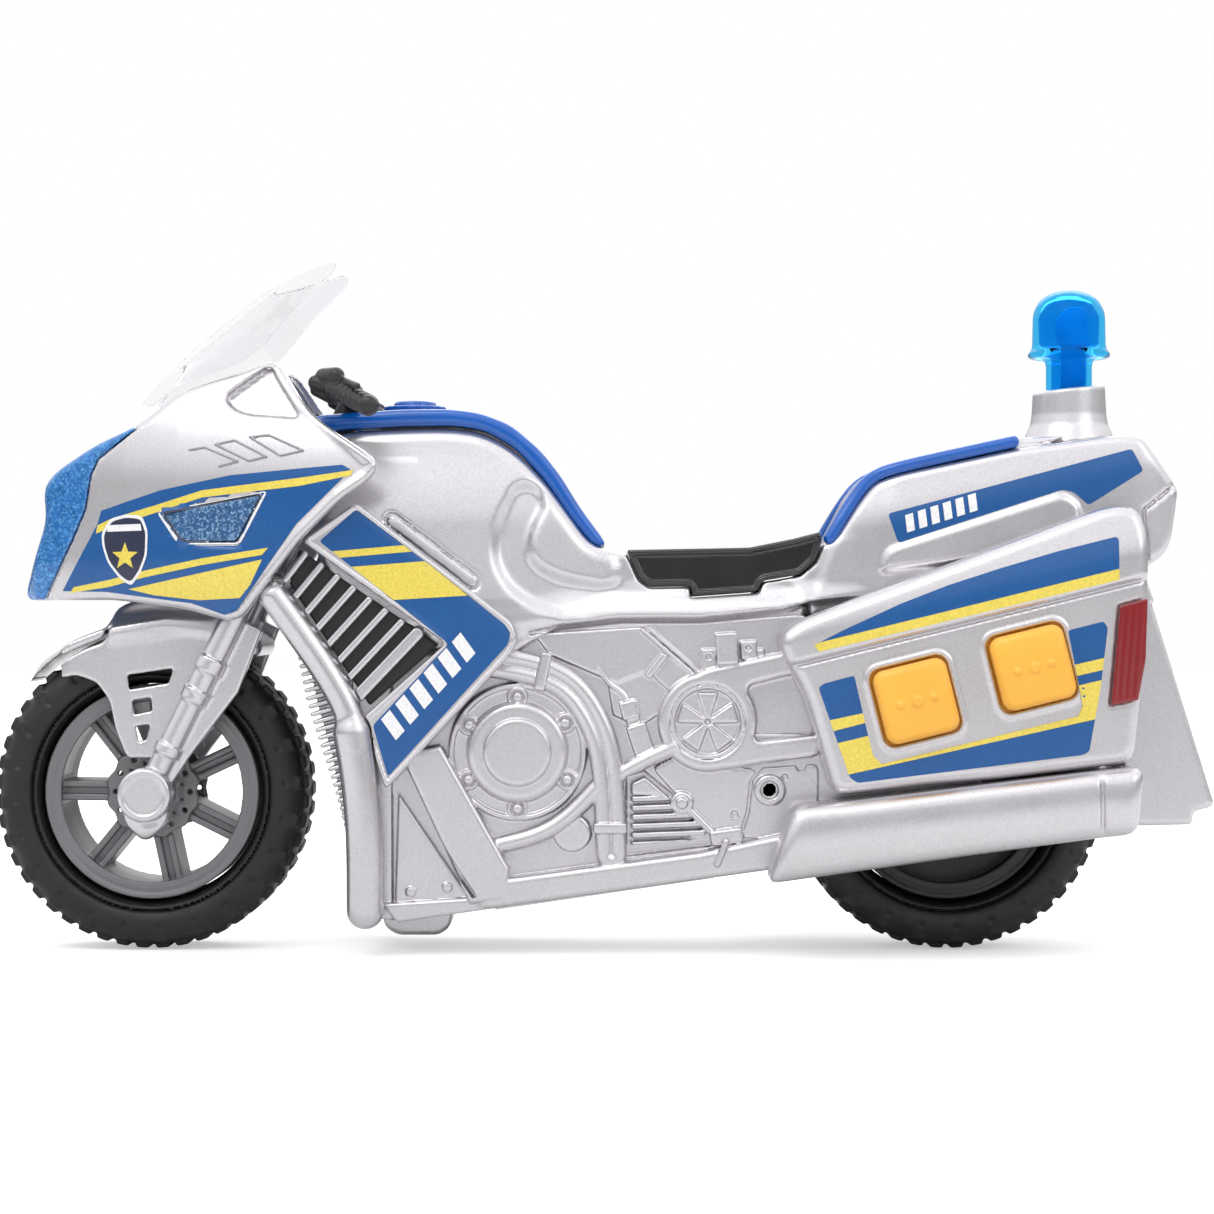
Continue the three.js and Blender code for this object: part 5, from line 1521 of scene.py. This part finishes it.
shell = main_shell()
pair("main_shell", shell, SILVER)
engine = engine_side()
pair("engine_side", engine, SILVER, nodes=False)
fairing_mesh = fairing()
build("fairing_look", fairing_mesh, SILVER, "body", ["fairing"])
pair("hood_marks", hood_marks(), MARK_GREY, nodes=False)
build("headlight_lens_look", headlight_lens(), LENS_BLUE, "body", ["headlight_lens"])
window = side_window()
pair("side_light", window, WINDOW)
build("windscreen_look", windscreen(), SCREEN, "body", ["windscreen"])
build("tank_cover_look", tank_cover(), BLUE, "body", ["tank_cover"])
build("fuel_cap_look", fuel_cap(), BLUE, "body", ["fuel_cap"])
build("seat_look", seat(), BLACK, "body", ["seat"])
pair("tail_trim", tail_trim(), BLUE)
build("beacon_base_look", beacon_base(), SILVER, "body", ["beacon_base"])
build("beacon_dome_look", beacon_dome(), BEACON_BLUE, "body", ["beacon_dome"])
build("beacon_core", beacon_core(), BEACON_CORE, "body", ["beacon_lamp"])
bag = pannier()
build("pannier_left_look", bag, SILVER, "body", ["pannier_left"])
build("pannier_right_look", mirrored(pannier(right=True)), SILVER, "body", ["pannier_right"])
for end in ("front", "rear"):
    build(f"button_{end}_look", button(end), ORANGE, f"{end}_button", [f"button_{end}"])
pair("reflector", reflector(), RED)
build("rear_lamp_look", rear_lamp(), RED, "body", ["rear_lamp"])
pair("silencer", silencer(), SILVER)
pair("crash_tube", crash_tube(), SILVER)
panel = side_panel()
pair("side_panel", panel, SILVER)
pair("grille", grille_plate(), GRILLE_BLACK)
pair("grille_bars", grille_bars(), SILVER, nodes=False)
build("radiator_look", radiator(), SILVER, "body", ["radiator"])
build("underside_foot_look", underside_foot(), SILVER, "body", ["underside_foot"])
build("rear_mudguard_look", rear_mudguard(), SILVER, "body", ["rear_mudguard"])
for end, centre, first in (("front", FRONT, math.radians(25)), ("rear", REAR, math.radians(40))):
    build(f"{end}_tyre_look", tyre(centre), TYRE, f"{end}_wheel", [f"{end}_tyre"])
    # The rear rim takes the black painted-shade finish instead of the grey of the front rim.
    finish = RIM_PAINTED_SHADE if end == "rear" else RIM_GREY
    shape = rim(centre, first, end == "rear")
    build(f"{end}_rim_look", shape, finish, f"{end}_wheel", [f"{end}_rim"])
pair("fork_leg", fork_leg(), SILVER, "fork")
build("front_fender_look", front_fender(), SILVER, "fork", ["front_fender"])
build("steering_stem_look", steering_stem(), SILVER, "fork", ["steering_stem"])
build("handlebar_look", handlebar(), BLACK_SATIN, "fork", ["handlebar"])

fairing_sticker(laid(fairing_mesh))
panel_sticker(laid(panel))
tail_sticker(laid(shell))
pannier_stickers(laid(bag))

FINISHES = {
    "silver_shell": SILVER, "steel": STEEL, "battery": CELL_SLEEVE, "board": BOARD_GREEN,
    "black_matte": BLACK_SATIN, "lamp": LAMP_CLEAR, "black_gloss": BLACK,
}
for row in frame["record"]["subparts"]:
    node = frame["nodes"][row["node"]]
    if not node.hide_render:
        for place in node.material_slots:
            place.material = FINISHES[row["material_slot"]]

# ------------------------------------------------------------ floor, light and camera


FLOOR_GLOW = 0.45


def floor():
    """A pale floor that glows to the camera only, so that reflections of it stay darker."""
    m = Nodes("pale_floor")
    m.colour(m.ramp(m.noise(3, 2), [(0.3, (0.72, 0.72, 0.72)), (0.7, (0.76, 0.76, 0.76))]))
    m.rough(m.spread(m.noise(20, 2), 0.8, 0.9))
    m.shader.inputs["Emission Color"].default_value = (1, 1, 1, 1)
    tree = m.material.node_tree
    path, share = tree.nodes.new("ShaderNodeLightPath"), tree.nodes.new("ShaderNodeMath")
    share.operation = "MULTIPLY"
    share.inputs[1].default_value = FLOOR_GLOW
    tree.links.new(path.outputs["Is Camera Ray"], share.inputs[0])
    tree.links.new(share.outputs[0], m.shader.inputs["Emission Strength"])
    data = bpy.data.meshes.new("floor")
    n, size = 8, 6.0
    row = n + 1
    points = [(size * (i / n - 0.5), size * (j / n - 0.5), -0.0002) for j in range(row) for i in range(row)]
    corners = [j * row + i for j in range(n) for i in range(n)]
    faces = [(k, k + 1, k + row + 1, k + row) for k in corners]
    data.from_pydata(points, [], faces)
    data.materials.append(m.material)
    thing = bpy.data.objects.new("floor", data)
    bpy.context.scene.collection.objects.link(thing)


def sky():
    """White to the camera and through clear plastic, and a soft studio from above for the bike."""
    world = bpy.data.worlds.new("studio")
    bpy.context.scene.world = world
    world.use_nodes = True
    tree = world.node_tree
    tree.nodes.clear()
    add = tree.nodes.new
    out = add("ShaderNodeOutputWorld")
    seen, lit = add("ShaderNodeBackground"), add("ShaderNodeBackground")
    mix, path = add("ShaderNodeMixShader"), add("ShaderNodeLightPath")
    place, split, ramp = add("ShaderNodeTexCoord"), add("ShaderNodeSeparateXYZ"), add("ShaderNodeValToRGB")
    spread = add("ShaderNodeMapRange")
    spread.inputs["From Min"].default_value = -1
    tree.links.new(place.outputs["Generated"], split.inputs[0])
    tree.links.new(split.outputs["Z"], spread.inputs["Value"])
    tree.links.new(spread.outputs["Result"], ramp.inputs["Fac"])
    marks = ramp.color_ramp.elements
    while len(marks) < 5:
        marks.new(0.5)
    for mark, (at, tone) in zip(marks, [(0.3, 0.1), (0.5, 0.24), (0.565, 0.62), (0.65, 1.5), (1.0, 1.9)]):
        mark.position = at
        mark.color = (tone, tone, tone * 1.01, 1)
    tree.links.new(ramp.outputs["Color"], lit.inputs["Color"])
    lit.inputs["Strength"].default_value = 0.72
    seen.inputs["Color"].default_value = (1, 1, 1, 1)
    straight = add("ShaderNodeMath")
    straight.operation = "MAXIMUM"
    tree.links.new(path.outputs["Is Camera Ray"], straight.inputs[0])
    tree.links.new(path.outputs["Is Transmission Ray"], straight.inputs[1])
    tree.links.new(straight.outputs[0], mix.inputs["Fac"])
    tree.links.new(lit.outputs["Background"], mix.inputs[1])
    tree.links.new(seen.outputs["Background"], mix.inputs[2])
    tree.links.new(mix.outputs["Shader"], out.inputs["Surface"])


def lamp(name, place, target, size, power):
    data = bpy.data.lights.new(name, "AREA")
    data.shape = "RECTANGLE"
    data.size, data.size_y = size
    data.energy = power
    thing = bpy.data.objects.new(name, data)
    thing.location = place
    thing.rotation_euler = (Vector(target) - Vector(place)).to_track_quat("-Z", "Y").to_euler()
    bpy.context.scene.collection.objects.link(thing)


def camera():
    distance, width, height = 0.7, 0.28232, 0.0784
    data = bpy.data.cameras.new("camera")
    data.sensor_width = 36
    data.lens = 36 * distance / width
    data.clip_start, data.clip_end = 0.05, 20
    thing = bpy.data.objects.new("camera", data)
    thing.location = (0.0008, -distance, height)
    thing.rotation_euler = (math.pi / 2, 0, 0)
    bpy.context.scene.collection.objects.link(thing)
    bpy.context.scene.camera = thing


floor()
sky()
lamp("key", (-0.35, -0.55, 0.9), (0, 0, 0.08), (0.7, 0.5), 2.6)
lamp("fill", (0.6, -0.5, 0.5), (0, 0, 0.07), (0.5, 0.5), 0.7)
lamp("rim", (0.1, 0.7, 0.7), (0, 0, 0.08), (0.9, 0.4), 2.5)
camera()
bpy.context.scene.view_settings.view_transform = "Standard"
